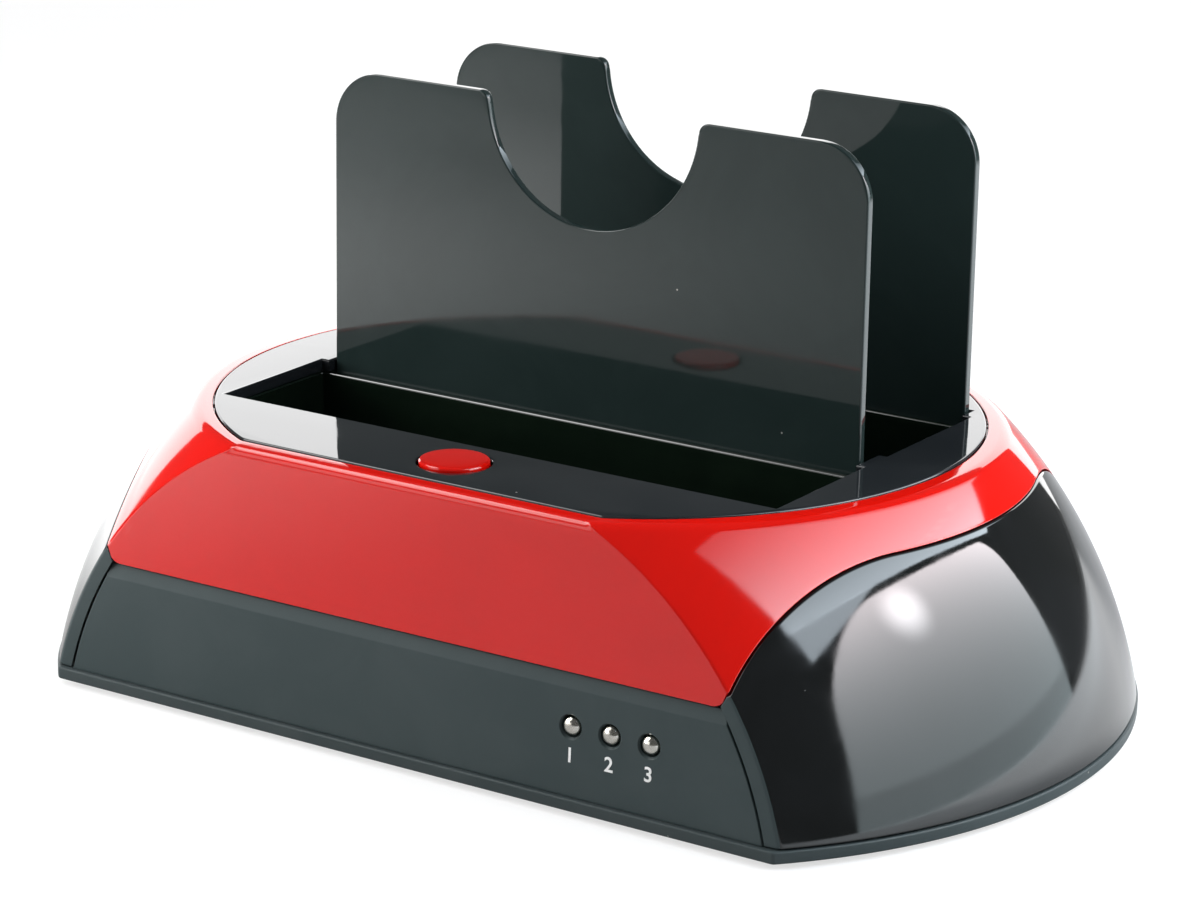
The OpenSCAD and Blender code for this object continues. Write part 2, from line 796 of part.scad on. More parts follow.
// well of the rear bay
module well_rear() {
    well(rear_bay, rear_bay_back);
}

// outline of a guide board: rounded upper corners and a round finger notch with soft lips
module guide_outline() {
    half = guide_width / 2;
    shoulder = guide_top - guide_corner;
    difference() {
        union() {
            translate([-half, guide_low]) square([guide_width, shoulder - guide_low]);
            translate([guide_corner - half, guide_low])
                square([guide_width - 2 * guide_corner, guide_top - guide_low]);
            for (side = [-1, 1])
                translate([side * (half - guide_corner), shoulder]) circle(r = guide_corner, $fn = fine);
        }
        translate([0, guide_top]) circle(r = notch_radius, $fn = fine);
        for (side = [-1, 1])
            difference() {
                translate([side * (notch_radius + notch_lip / 2), guide_top])
                    square([notch_lip, 2 * notch_lip], center = true);
                translate([side * (notch_radius + notch_lip), guide_top - notch_lip])
                    circle(r = notch_lip, $fn = medium);
            }
    }
}

// front guide board, which lifts out of its seat
module guide_front() {
    y = front_seat + guide_gap;
    color([0.05, 0.055, 0.06]) along_y(y, y + guide_thick) guide_outline();
}

// rear guide board, which lifts out of its seat
module guide_rear() {
    y = rear_seat + guide_gap;
    color([0.05, 0.055, 0.06]) along_y(y, y + guide_thick) guide_outline();
}

// round push button with a flange below the deck and a domed top
module button() {
    edge = deck_z + button_proud;
    ball = (pow(button_radius, 2) + pow(button_dome, 2)) / (2 * button_dome);
    color([0.78, 0.05, 0.02]) {
        bar([0, -button_y], button_radius + button_flange_width, button_low, button_low + button_flange);
        bar([0, -button_y], button_radius, button_low, edge);
        translate([0, -button_y, 0]) rotate_extrude($fn = medium) intersection() {
            translate([0, edge + button_dome - ball]) circle(r = ball, $fn = fine);
            translate([0, edge - button_proud]) square([button_radius, button_proud + button_dome]);
        }
    }
}

// small board under the button
module button_board() {
    low = button_board_top - button_board_thick;
    color([0.05, 0.25, 0.12]) difference() {
        block([-button_board_length / 2, -button_y - button_board_depth / 2, low],
            [button_board_length / 2, -button_y + button_board_depth / 2, button_board_top]);
        for (spot = button_spots)
            bar(spot, small_screw_radius + screw_gap, low - past, button_board_top + past);
    }
}

// push switch on the small board
module button_switch() {
    top = button_board_top + switch_height;
    color([0.15, 0.15, 0.16]) {
        block([-switch_side / 2, -button_y - switch_side / 2, button_board_top],
            [switch_side / 2, -button_y + switch_side / 2, top]);
        bar([0, -button_y], plunger_radius, top - past, plunger_top);
    }
}

// a small screw, head up or head down, with a cross slot
module small_screw(spot, seat, up) {
    translate([spot[0], spot[1], seat]) mirror([0, 0, up ? 0 : 1]) difference() {
        union() {
            cylinder(r = small_head_radius, h = small_head, $fn = medium);
            translate([0, 0, -small_screw_length])
                cylinder(r = small_screw_radius, h = small_screw_length + small_head / 2, $fn = medium);
        }
        cross(small_head_radius, small_head - cross_depth, small_head + past);
    }
}

// two screws that hold the small board
module button_screws() {
    color([0.6, 0.6, 0.62])
        for (spot = button_spots) small_screw(spot, button_board_top - button_board_thick, false);
}

// a clear round light with a domed tip and a collar behind the panel
module light(i) {
    spot = light_at(i);
    tip = -face_y(light_z) - light_proud;
    back = tip + light_length;
    color([0.85, 0.85, 0.8]) {
        bar_y(spot, light_radius, tip + light_radius, back);
        bar_y(spot, light_radius + light_collar_width, back, back + light_collar);
        translate([spot[0], tip + light_radius, spot[1]]) sphere(r = light_radius, $fn = medium);
    }
}

// left light
module light_1() {
    light(1);
}

// middle light
module light_2() {
    light(2);
}

// right light
module light_3() {
    light(3);
}

// bent wire leads from the lights down to the circuit board
module light_leads() {
    back = -face_y(light_z) - light_proud + light_length + light_collar;
    half = lead_side / 2;
    color([0.75, 0.74, 0.7])
        for (i = [1 : 3], side = [-1, 1]) {
            x = light_at(i)[0] + side * lead_pitch / 2;
            block([x - half, back, light_z - half], [x + half, back + lead_reach, light_z + half]);
            block([x - half, back + lead_reach - lead_side, circuit_top],
                [x + half, back + lead_reach, light_z + half]);
        }
}

// circuit board under the wells
module main_board() {
    color([0.05, 0.25, 0.12]) difference() {
        block([-circuit_half, -circuit_front, circuit_z], [circuit_half, circuit_back, circuit_top]);
        for (spot = board_spots)
            bar(spot, small_screw_radius + screw_gap, circuit_z - past, circuit_top + past);
    }
}

// four screws that hold the circuit board
module board_screws() {
    color([0.6, 0.6, 0.62])
        for (spot = board_spots) small_screw(spot, circuit_top, true);
}

// flat chips on the circuit board, beside the drive sockets
module chips() {
    spots = [[chip_x, front_bay_back - chip_side, chip_side],
        [chip_x, rear_bay + chip_small, chip_small],
        [-chip_x, rear_bay + chip_small, chip_small]];
    color([0.07, 0.07, 0.075])
        for (s = spots)
            block([s[0] - s[2] / 2, s[1] - s[2] / 2, circuit_top],
                [s[0] + s[2] / 2, s[1] + s[2] / 2, circuit_top + chip_height]);
}

// a row of round capacitors in front of the wells
module capacitors() {
    color([0.55, 0.55, 0.58])
        for (i = [0 : 3])
            bar([i * capacitor_pitch - board_screw_x + 2 * capacitor_pitch, -button_y],
                capacitor_radius, circuit_top, circuit_top + capacitor_height);
}

// a drive socket through the floor of a well, with slots for the drive's two blades
module drive_socket(back) {
    y = back - socket_back;
    color([0.05, 0.05, 0.055]) difference() {
        block([-socket_x - socket_length / 2, y - socket_depth / 2, circuit_top],
            [-socket_x + socket_length / 2, y + socket_depth / 2, socket_top]);
        for (s = [[blade_start, power_blade], [data_start, data_blade]]) {
            block([s[0], y - blade_width / 2, socket_top - blade_depth],
                [s[0] + s[1], y + blade_width / 2, socket_top + past]);
            block([s[0], y - blade_width / 2 - blade_key, socket_top - blade_depth],
                [s[0] + blade_key, y, socket_top + past]);
        }
    }
}

// drive socket of the front bay
module drive_socket_front() {
    drive_socket(front_bay_back);
}

// drive socket of the rear bay
module drive_socket_rear() {
    drive_socket(rear_bay_back);
}

// spring contacts along the rear wall of the blade slots
module drive_contacts() {
    color([0.85, 0.68, 0.3])
        for (back = [front_bay_back, rear_bay_back],
            s = [[blade_start + power_blade / 2, power_contacts],
                [data_start + data_blade / 2, data_contacts]],
            i = [0 : s[1] - 1]) {
            x = s[0] + (i - (s[1] - 1) / 2) * contact_pitch;
            y = back - socket_back + blade_width / 2;
            block([x - contact_width / 2, y - contact_thick, socket_top - blade_depth],
                [x + contact_width / 2, y, socket_top - contact_thick]);
        }
}

// case of the power jack
module power_jack() {
    color([0.05, 0.05, 0.055]) difference() {
        block([jack_x - jack_width / 2, port_y - jack_length, circuit_top],
            [jack_x + jack_width / 2, port_y, circuit_top + jack_height]);
        bar_y([jack_x, jack_z], jack_bore, port_y - jack_depth, port_y + past);
    }
}

// pin in the middle of the power jack
module jack_pin() {
    color([0.75, 0.74, 0.7])
        bar_y([jack_x, jack_z], jack_pin_radius, port_y - jack_depth, port_y - tongue_set_back);
}

// case of the power switch with a frame outside the rear panel
module power_switch() {
    half = rocker_length / 2;
    tall = rocker_height / 2;
    front = face_y(rocker_z - tall - rocker_frame) + seam;
    color([0.04, 0.04, 0.045]) difference() {
        union() {
            block([rocker_x - half - rocker_wall, port_y - rocker_case, rocker_z - tall - rocker_wall],
                [rocker_x + half + rocker_wall, front + past / 2, rocker_z + tall + rocker_wall]);
            block([rocker_x - half - rocker_frame, front, rocker_z - tall - rocker_frame],
                [rocker_x + half + rocker_frame, port_y + rocker_frame_thick,
                rocker_z + tall + rocker_frame]);
        }
        block([rocker_x - half, port_y - rocker_case + rocker_wall, rocker_z - tall],
            [rocker_x + half, port_y + rocker_frame_thick + past, rocker_z + tall]);
        bar([rocker_x, rocker_y], rocker_pin + rocker_pin_gap, rocker_z - tall - rocker_wall - past,
            rocker_z + tall + rocker_wall + past);
    }
}

// two-faced rocker on pivot pins, drawn with one side in
module rocker() {
    half = rocker_length / 2 - rocker_gap;
    tall = rocker_height / 2 - rocker_gap;
    rise = half * tan(rocker_slope);
    back = half - rocker_taper;
    color([0.05, 0.05, 0.055]) translate([rocker_x, rocker_y, rocker_z]) rotate(rocker_slope) {
        translate([0, 0, -tall]) linear_extrude(height = 2 * tall)
            polygon([[0, rocker_pivot], [half, rocker_pivot + rise],
                [back, rocker_pivot + rise - rocker_thick], [0, -rocker_pivot - rise],
                [-back, rocker_pivot + rise - rocker_thick], [-half, rocker_pivot + rise]]);
        bar([0, 0], rocker_pin, -rocker_height / 2 - rocker_wall / 2, rocker_height / 2 + rocker_wall / 2);
    }
}

// square sheet metal socket for the computer's lead, open towards the rear
module data_socket() {
    color([0.75, 0.75, 0.77]) difference() {
        along_y(port_y - data_length, port_y) data_outline(0);
        along_y(port_y - data_length + sheet, port_y + past) data_outline(sheet);
    }
}

// a flat sheet metal socket of the hub, open towards the rear
module hub_socket(x) {
    difference() {
        block([x - hub_width / 2, port_y - hub_length, circuit_top],
            [x + hub_width / 2, port_y, circuit_top + hub_height]);
        block([x - hub_width / 2 + sheet, port_y - hub_length + sheet, circuit_top + sheet],
            [x + hub_width / 2 - sheet, port_y + past, circuit_top + hub_height - sheet]);
    }
}

// two flat sockets of the hub
module hub_sockets() {
    color([0.75, 0.75, 0.77])
        for (i = [0, 1]) hub_socket(hub_x - i * hub_pitch);
}

// a tongue on the back wall of a socket
module tongue(x, width, height, length, thick) {
    z = circuit_top + height / 2;
    block([x - width / 2 + sheet + tongue_gap, port_y - length + sheet, z - thick / 2],
        [x + width / 2 - sheet - tongue_gap, port_y - tongue_set_back, z + thick / 2]);
}

// tongues of the data socket and of the two hub sockets
module socket_tongues() {
    color([0.1, 0.25, 0.6]) {
        tongue(data_x, data_width, data_height, data_length, 2 * tongue_thick);
        for (i = [0, 1]) tongue(hub_x - i * hub_pitch, hub_width, hub_height, hub_length, tongue_thick);
    }
}

// flat case of the card slot
module card_slot() {
    side = (card_width - card_mouth) / 2;
    rise = (card_height - card_mouth_height) / 2;
    color([0.5, 0.5, 0.52]) difference() {
        block([card_x - card_width / 2, port_y - card_length, circuit_top],
            [card_x + card_width / 2, port_y, circuit_top + card_height]);
        block([card_x - card_width / 2 + side, port_y - card_depth, circuit_top + rise],
            [card_x + card_width / 2 - side, port_y + past, circuit_top + card_height - rise]);
    }
}

// eight screws that hold the cover and the end shells from below
module case_screws() {
    seat = tray_z + screw_sink;
    color([0.6, 0.6, 0.62])
        for (spot = concat(post_spots, shell_spots))
            difference() {
                union() {
                    bar(spot, screw_head_radius, seat - screw_head, seat);
                    bar(spot, screw_radius, seat - screw_head / 2, seat + screw_length);
                }
                translate([spot[0], spot[1], 0])
                    cross(screw_head_radius, seat - screw_head - past, seat - screw_head + cross_depth);
            }
}

base_tray();
feet();
shell_right();
shell_left();
top_cover();
front_panel();
rear_panel();
deck();
well_front();
well_rear();
guide_front();
guide_rear();
button();
button_board();
button_switch();
button_screws();
light_1();
light_2();
light_3();
light_leads();
main_board();
board_screws();
chips();
capacitors();
drive_socket_front();
drive_socket_rear();
drive_contacts();
power_jack();
jack_pin();
power_switch();
rocker();
data_socket();
hub_sockets();
socket_tongues();
card_slot();
case_screws();
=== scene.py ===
import math

import bmesh
import bpy
import numpy as np
from mathutils import Matrix, Vector
from mathutils.bvhtree import BVHTree


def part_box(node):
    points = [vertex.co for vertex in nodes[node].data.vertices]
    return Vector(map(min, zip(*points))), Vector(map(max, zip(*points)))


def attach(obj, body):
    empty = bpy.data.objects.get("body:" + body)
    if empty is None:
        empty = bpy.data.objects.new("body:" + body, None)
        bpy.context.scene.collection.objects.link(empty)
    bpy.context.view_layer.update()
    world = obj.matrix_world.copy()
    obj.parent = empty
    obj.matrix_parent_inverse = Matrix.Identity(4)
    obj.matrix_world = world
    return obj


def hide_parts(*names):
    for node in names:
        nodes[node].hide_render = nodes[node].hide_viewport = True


# Finish of a twin-bay drive dock: red saddle cover, black end shells, grey panels, upright boards.
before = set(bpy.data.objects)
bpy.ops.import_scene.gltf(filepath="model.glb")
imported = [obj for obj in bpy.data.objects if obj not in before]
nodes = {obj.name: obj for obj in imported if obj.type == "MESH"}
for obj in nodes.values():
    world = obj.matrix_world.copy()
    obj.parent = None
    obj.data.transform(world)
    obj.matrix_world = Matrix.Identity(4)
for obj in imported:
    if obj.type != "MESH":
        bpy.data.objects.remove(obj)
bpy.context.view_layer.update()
mm = 0.001  # lengths below are in millimetres
print("frame loaded:", len(nodes), "nodes")


# Shared effects, each a node group that several finishes use

def newGroup(name, inputs, outputs):
    group = bpy.data.node_groups.new(name, "ShaderNodeTree")
    for label, value in inputs.items():
        socket = group.interface.new_socket(label, in_out="INPUT", socket_type="NodeSocketFloat")
        socket.default_value = value
    for label in outputs:
        group.interface.new_socket(label, in_out="OUTPUT", socket_type="NodeSocketFloat")
    return group, group.nodes.new("NodeGroupInput").outputs, group.nodes.new("NodeGroupOutput").inputs


def addNode(tree, kind, inputs=None, **settings):
    node = tree.nodes.new("ShaderNode" + kind)
    for key, value in settings.items():
        setattr(node, key, value)
    for key, value in (inputs or {}).items():
        if hasattr(value, "is_output"):
            tree.links.new(value, node.inputs[key])
        else:
            node.inputs[key].default_value = value
    return node


def calculate(tree, operation, *values):
    return addNode(tree, "Math", dict(enumerate(values)), operation=operation).outputs[0]


def ramp(tree, value, start, end, low=0, high=1, curve="LINEAR"):  # low at start, high at end
    node = addNode(tree, "MapRange", {"Value": value, "From Min": start, "From Max": end,
                                      "To Min": low, "To Max": high}, interpolation_type=curve)
    return node.outputs["Result"]


def ownPlace(tree):  # coordinates that stay with the piece
    return addNode(tree, "TexCoord").outputs["Object"]


def smudgeGroup():  # slow patches left by hands and cloths
    group, given, out = newGroup("handSmudges", {"Scale": 60, "Low": 0.05, "High": 0.12}, ["Value", "Mask"])
    cloud = addNode(group, "TexNoise", {"Vector": ownPlace(group), "Scale": given["Scale"], "Detail": 5,
                                        "Roughness": 0.6, "Distortion": 0.8})
    mask = ramp(group, cloud.outputs["Fac"], 0.38, 0.68, curve="SMOOTHSTEP")
    group.links.new(ramp(group, mask, 0, 1, given["Low"], given["High"]), out["Value"])
    group.links.new(mask, out["Mask"])
    return group


def grainGroup():  # fine skin of moulded plastic, or the peel of a gloss coat
    group, given, out = newGroup("mouldGrain", {"Scale": 3000, "Detail": 2}, ["Height"])
    skin = addNode(group, "TexNoise", {"Vector": ownPlace(group), "Scale": given["Scale"],
                                       "Detail": given["Detail"], "Roughness": 0.55})
    group.links.new(skin.outputs["Fac"], out["Height"])
    return group


def dustGroup():  # single grains of dust
    group, given, out = newGroup("dustSpecks", {"Scale": 300, "Size": 0.05, "Share": 0.02}, ["Mask"])
    cells = addNode(group, "TexVoronoi", {"Vector": ownPlace(group), "Scale": given["Scale"]})
    chance = addNode(group, "SeparateColor", {"Color": cells.outputs["Color"]})
    near = calculate(group, "LESS_THAN", cells.outputs["Distance"], given["Size"])
    picked = calculate(group, "LESS_THAN", chance.outputs["Red"], given["Share"])
    group.links.new(calculate(group, "MULTIPLY", near, picked), out["Mask"])
    return group


def rubGroup():  # edges rubbed brighter by handling
    group, given, out = newGroup("edgeRub", {"Start": 0.54, "End": 0.66, "Scale": 500}, ["Mask"])
    bend = addNode(group, "NewGeometry").outputs["Pointiness"]
    patch = addNode(group, "TexNoise", {"Vector": ownPlace(group), "Scale": given["Scale"], "Detail": 3})
    edge = ramp(group, bend, given["Start"], given["End"])
    group.links.new(calculate(group, "MULTIPLY", edge, patch.outputs["Fac"]), out["Mask"])
    return group


smudges = smudgeGroup()
grain = grainGroup()
dust = dustGroup()
rub = rubGroup()


def useGroup(tree, group, values):
    node = tree.nodes.new("ShaderNodeGroup")
    node.node_tree = group
    for key, value in values.items():
        node.inputs[key].default_value = value
    return node


def blendColour(tree, factor, first, second):
    node = addNode(tree, "Mix", {"Factor": factor}, data_type="RGBA")
    for socket, value in (("A_Color", first), ("B_Color", second)):
        target = next(s for s in node.inputs if s.identifier == socket)
        if hasattr(value, "is_output"):
            tree.links.new(value, target)
        else:
            target.default_value = (*value, 1)
    return next(s for s in node.outputs if s.identifier == "Result_Color")


def newMaterial(name):
    material = bpy.data.materials.new(name)
    material.use_nodes = True
    return material, material.node_tree, material.node_tree.nodes["Principled BSDF"]


def finish(name, look):  # one procedural finish from its own values
    material, tree, shader = newMaterial(name)
    smudge = useGroup(tree, smudges, {"Scale": look["smudge"], "Low": look["rough"][0],
                                      "High": look["rough"][1]})
    specks = useGroup(tree, dust, {"Size": look.get("dustSize", 0.05), "Share": look.get("dustShare", 0.02)})
    worn = useGroup(tree, rub, {})
    grainScale, grainDepth = look["grain"]
    skin = useGroup(tree, grain, {"Scale": grainScale})
    base = blendColour(tree, smudge.outputs["Mask"], look["colour"], look["shade"])
    base = blendColour(tree, worn.outputs["Mask"], base, look.get("rubColour", look["shade"]))
    base = blendColour(tree, specks.outputs["Mask"], base, look.get("dustColour", (0.35, 0.34, 0.32)))
    tree.links.new(base, shader.inputs["Base Color"])
    rougher = calculate(tree, "MULTIPLY_ADD", specks.outputs["Mask"], 0.4, smudge.outputs["Value"])
    tree.links.new(rougher, shader.inputs["Roughness"])
    bump = addNode(tree, "Bump", {"Strength": 1, "Distance": grainDepth * mm,
                                  "Height": skin.outputs["Height"]})
    tree.links.new(bump.outputs["Normal"], shader.inputs["Normal"])
    shader.inputs["Metallic"].default_value = look.get("metal", 0)
    shader.inputs["IOR"].default_value = look.get("ior", 1.5)
    return material


def lensFinish(name, look):  # clear moulded plastic
    material, tree, shader = newMaterial(name)
    smudge = useGroup(tree, smudges, {"Scale": 900, "Low": look["rough"][0], "High": look["rough"][1]})
    tree.links.new(smudge.outputs["Value"], shader.inputs["Roughness"])
    base = blendColour(tree, smudge.outputs["Mask"], look["colour"], look["shade"])
    tree.links.new(base, shader.inputs["Base Color"])
    shader.inputs["Transmission Weight"].default_value = 1
    shader.inputs["IOR"].default_value = look["ior"]
    return material


redLacquer = finish("redLacquer", {
    "colour": (0.6, 0.004, 0.001), "shade": (0.57, 0.004, 0.001), "rough": (0.04, 0.09),
    "smudge": 45, "grain": (900, 0.0015), "dustShare": 0.005, "ior": 1.6,
    "dustColour": (0.5, 0.03, 0.02), "rubColour": (0.60, 0.02, 0.015)})
pianoBlack = finish("pianoBlack", {
    "colour": (0.004, 0.005, 0.005), "shade": (0.006, 0.007, 0.0075), "rough": (0.03, 0.09),
    "smudge": 40, "grain": (700, 0.0015), "dustShare": 0.01, "dustSize": 0.03,
    "dustColour": (0.06, 0.06, 0.06), "ior": 1.6})
deckBlack = finish("deckBlack", {
    "colour": (0.013, 0.015, 0.017), "shade": (0.017, 0.019, 0.021), "rough": (0.025, 0.07),
    "smudge": 55, "grain": (800, 0.0015), "dustShare": 0.03, "ior": 1.55})
boardBlack = finish("boardBlack", {
    "colour": (0.013, 0.022, 0.021), "shade": (0.016, 0.026, 0.025), "rough": (0.03, 0.10),
    "smudge": 35, "grain": (600, 0.0015), "dustShare": 0.03, "ior": 1.49})
panelGrey = finish("panelGrey", {
    "colour": (0.039, 0.055, 0.057), "shade": (0.045, 0.061, 0.063), "rough": (0.34, 0.46),
    "smudge": 60, "grain": (5200, 0.012), "dustShare": 0.02, "ior": 1.35})
wellBlack = finish("wellBlack", {
    "colour": (0.004, 0.008, 0.005), "shade": (0.005, 0.010, 0.006), "rough": (0.06, 0.14),
    "smudge": 70, "grain": (1200, 0.002), "dustShare": 0.02, "ior": 1.9,
    "dustColour": (0.03, 0.03, 0.03)})
trayGrey = finish("trayGrey", {
    "colour": (0.038, 0.051, 0.053), "shade": (0.046, 0.059, 0.061), "rough": (0.38, 0.52),
    "smudge": 50, "grain": (3600, 0.02), "dustShare": 0.06, "ior": 1.35})
rubberBlack = finish("rubberBlack", {
    "colour": (0.018, 0.018, 0.018), "shade": (0.03, 0.03, 0.029), "rough": (0.72, 0.88),
    "smudge": 180, "grain": (2600, 0.04), "dustShare": 0.2})
socketBlack = finish("socketBlack", {
    "colour": (0.014, 0.014, 0.015), "shade": (0.022, 0.022, 0.023), "rough": (0.32, 0.5),
    "smudge": 150, "grain": (5200, 0.01), "dustShare": 0.04})
rockerBlack = finish("rockerBlack", {
    "colour": (0.012, 0.012, 0.013), "shade": (0.02, 0.02, 0.021), "rough": (0.12, 0.26),
    "smudge": 220, "grain": (3000, 0.006), "dustShare": 0.03})
platedSteel = finish("platedSteel", {
    "colour": (0.62, 0.62, 0.63), "shade": (0.57, 0.57, 0.58), "rough": (0.24, 0.34), "metal": 1,
    "smudge": 240, "grain": (2400, 0.0015), "dustShare": 0.03})
screwSteel = finish("screwSteel", {
    "colour": (0.50, 0.50, 0.52), "shade": (0.36, 0.36, 0.37), "rough": (0.22, 0.42), "metal": 1,
    "smudge": 400, "grain": (3800, 0.01), "dustShare": 0.05})
tinnedWire = finish("tinnedWire", {
    "colour": (0.70, 0.69, 0.66), "shade": (0.55, 0.54, 0.52), "rough": (0.2, 0.4), "metal": 1,
    "smudge": 500, "grain": (3800, 0.006)})
contactGold = finish("contactGold", {
    "colour": (0.83, 0.58, 0.22), "shade": (0.70, 0.47, 0.17), "rough": (0.18, 0.34), "metal": 1,
    "smudge": 600, "grain": (3800, 0.004)})
canAluminium = finish("canAluminium", {
    "colour": (0.66, 0.66, 0.68), "shade": (0.54, 0.54, 0.56), "rough": (0.2, 0.35), "metal": 1,
    "smudge": 300, "grain": (2600, 0.006)})
boardGreen = finish("boardGreen", {
    "colour": (0.012, 0.11, 0.045), "shade": (0.016, 0.14, 0.055), "rough": (0.28, 0.42),
    "smudge": 160, "grain": (1800, 0.02)})
chipBlack = finish("chipBlack", {
    "colour": (0.016, 0.016, 0.017), "shade": (0.026, 0.026, 0.027), "rough": (0.5, 0.65),
    "smudge": 260, "grain": (5200, 0.02)})
tongueBlue = finish("tongueBlue", {
    "colour": (0.012, 0.06, 0.36), "shade": (0.016, 0.075, 0.42), "rough": (0.3, 0.42),
    "smudge": 300, "grain": (5200, 0.008)})
beadSilver = finish("beadSilver", {
    "colour": (0.74, 0.72, 0.67), "shade": (0.62, 0.60, 0.55), "rough": (0.1, 0.22), "metal": 1,
    "smudge": 900, "grain": (2600, 0.02)})
printWhite = finish("printWhite", {
    "colour": (0.93, 0.93, 0.92), "shade": (0.84, 0.84, 0.83), "rough": (0.4, 0.55),
    "smudge": 900, "grain": (5200, 0.004)})
clearLens = lensFinish("clearLens", {
    "colour": (0.95, 0.95, 0.93), "shade": (0.90, 0.90, 0.87), "rough": (0.01, 0.05), "ior": 1.5})
print("finishes made:", len(bpy.data.materials))


# Mesh tools

def gridFaces(rows, cols, wrapRows=False, wrapCols=False):
    faces = []
    for r in range(rows if wrapRows else rows - 1):
        for c in range(cols if wrapCols else cols - 1):
            up, on = (r + 1) % rows, (c + 1) % cols
            faces.append((r * cols + c, r * cols + on, up * cols + on, up * cols + c))
    return faces


def addObject(name, data):
    thing = bpy.data.objects.new(name, data)
    bpy.context.scene.collection.objects.link(thing)
    return thing


def meshOf(name, points, faces, material):
    mesh = bpy.data.meshes.new(name)
    mesh.from_pydata([tuple(p) for p in np.asarray(points, float).reshape(-1, 3) * mm], [], faces)
    return settle(mesh, material)


def settle(mesh, material, sharp=38):  # welds, turns the faces outwards and sets smooth shading
    work = bmesh.new()
    work.from_mesh(mesh)
    bmesh.ops.remove_doubles(work, verts=work.verts, dist=2e-6)
    bmesh.ops.dissolve_degenerate(work, edges=work.edges, dist=1e-6)
    bmesh.ops.recalc_face_normals(work, faces=work.faces)
    work.to_mesh(mesh)
    work.free()
    mesh.shade_smooth()
    mesh.set_sharp_from_angle(angle=math.radians(sharp))
    mesh.materials.clear()
    mesh.materials.append(material)
    return mesh


def placePiece(name, mesh, body, slot, *replaced):
    piece = addObject(name, mesh)
    weighted = piece.modifiers.new("evenNormals", "WEIGHTED_NORMAL")
    weighted.keep_sharp = True
    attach(piece, body)
    if replaced:
        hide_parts(*replaced)
    return piece


def joinMeshes(name, meshes, material):  # several closed forms as one piece
    work = bmesh.new()
    for mesh in meshes:
        work.from_mesh(mesh)
        bpy.data.meshes.remove(mesh)
    mesh = bpy.data.meshes.new(name)
    work.to_mesh(mesh)
    work.free()
    return settle(mesh, material)


def arcPoints(centre, radius, start, end, steps):  # angles in degrees
    turn = np.radians(np.linspace(start, end, steps))
    return np.c_[centre[0] + radius * np.cos(turn), centre[1] + radius * np.sin(turn)]


def offsetLoop(loop, inset):  # moves a loop into the material, which lies on its left
    ahead = np.roll(loop, -1, axis=0) - loop
    ahead /= np.linalg.norm(ahead, axis=1)[:, None]
    normal = np.c_[-ahead[:, 1], ahead[:, 0]]
    before = np.roll(normal, 1, axis=0)
    middle = normal + before
    reach = np.maximum((1 + (normal * before).sum(1)), 0.35)
    return loop + inset * middle / reach[:, None]


def signedArea(loop):
    ahead = np.roll(loop, -1, axis=0)
    return 0.5 * np.sum(loop[:, 0] * ahead[:, 1] - ahead[:, 0] * loop[:, 1])


def plateMesh(name, loops, low, high, edge, material, upright=False, steps=3):
    # a plate from an outline and its holes, with rounded edges; upright plates stand along Y
    turns = np.linspace(0, math.pi / 2, steps + 1)
    levels = [(edge * (1 - math.sin(a)), low + edge * (1 - math.cos(a))) for a in turns]
    levels += [(inset, high - (z - low)) for inset, z in reversed(levels)]
    work = bmesh.new()
    ends = [[], []]
    for index, loop in enumerate(loops):
        loop = np.asarray(loop, float)
        if (signedArea(loop) > 0) != (index == 0):
            loop = loop[::-1]
        rings = []
        for inset, level in levels:
            flat = offsetLoop(loop, inset)
            places = [(u, level, v) if upright else (u, v, level) for u, v in flat]
            rings.append([work.verts.new(Vector(p) * mm) for p in places])
        count = len(loop)
        for lower, upper in zip(rings, rings[1:]):
            for i in range(count):
                j = (i + 1) % count
                work.faces.new((lower[i], lower[j], upper[j], upper[i]))
        for end, ring in zip(ends, (rings[0], rings[-1])):
            for i in range(count):
                pair = (ring[i], ring[(i + 1) % count])
                end.append(work.edges.get(pair) or work.edges.new(pair))
    for end in ends:
        bmesh.ops.triangle_fill(work, edges=end, use_beauty=True)
    mesh = bpy.data.meshes.new(name)
    work.to_mesh(mesh)
    work.free()
    return settle(mesh, material)


def latheMesh(name, profile, spot, material, axis="z", steps=64):
    # profile is (radius, place along the axis), from the lower end to the upper end
    turn = np.linspace(0, 2 * math.pi, steps, endpoint=False)
    radius, along = np.array(profile, float).T[:, :, None]
    u, v = spot[0] + radius * np.cos(turn), spot[1] + radius * np.sin(turn)
    points = stack(u, v, along) if axis == "z" else stack(u, along, v)
    faces = gridFaces(len(profile), steps, wrapCols=True)
    for row in (0, len(profile) - 1):
        if profile[row][0] > 1e-4:
            faces.append(tuple(range(row * steps, (row + 1) * steps)))
    return meshOf(name, points, faces, material)


def softMesh(node, width, material):  # a CAD form with eased edges
    mesh = nodes[node].data.copy()
    work = bmesh.new()
    work.from_mesh(mesh)
    bmesh.ops.remove_doubles(work, verts=work.verts, dist=2e-6)
    bmesh.ops.dissolve_limit(work, angle_limit=math.radians(1.2), verts=work.verts, edges=work.edges)
    crisp = [e for e in work.edges if len(e.link_faces) == 2 and e.calc_face_angle(0) > math.radians(35)]
    bmesh.ops.bevel(work, geom=crisp, offset=width * mm, segments=2, profile=0.6,
                    affect="EDGES", clamp_overlap=True)
    work.to_mesh(mesh)
    work.free()
    mesh.name = node + "Form"
    return settle(mesh, material)


def softPiece(name, node, width, material, body, slot):
    return placePiece(name, softMesh(node, width, material), body, slot, node)


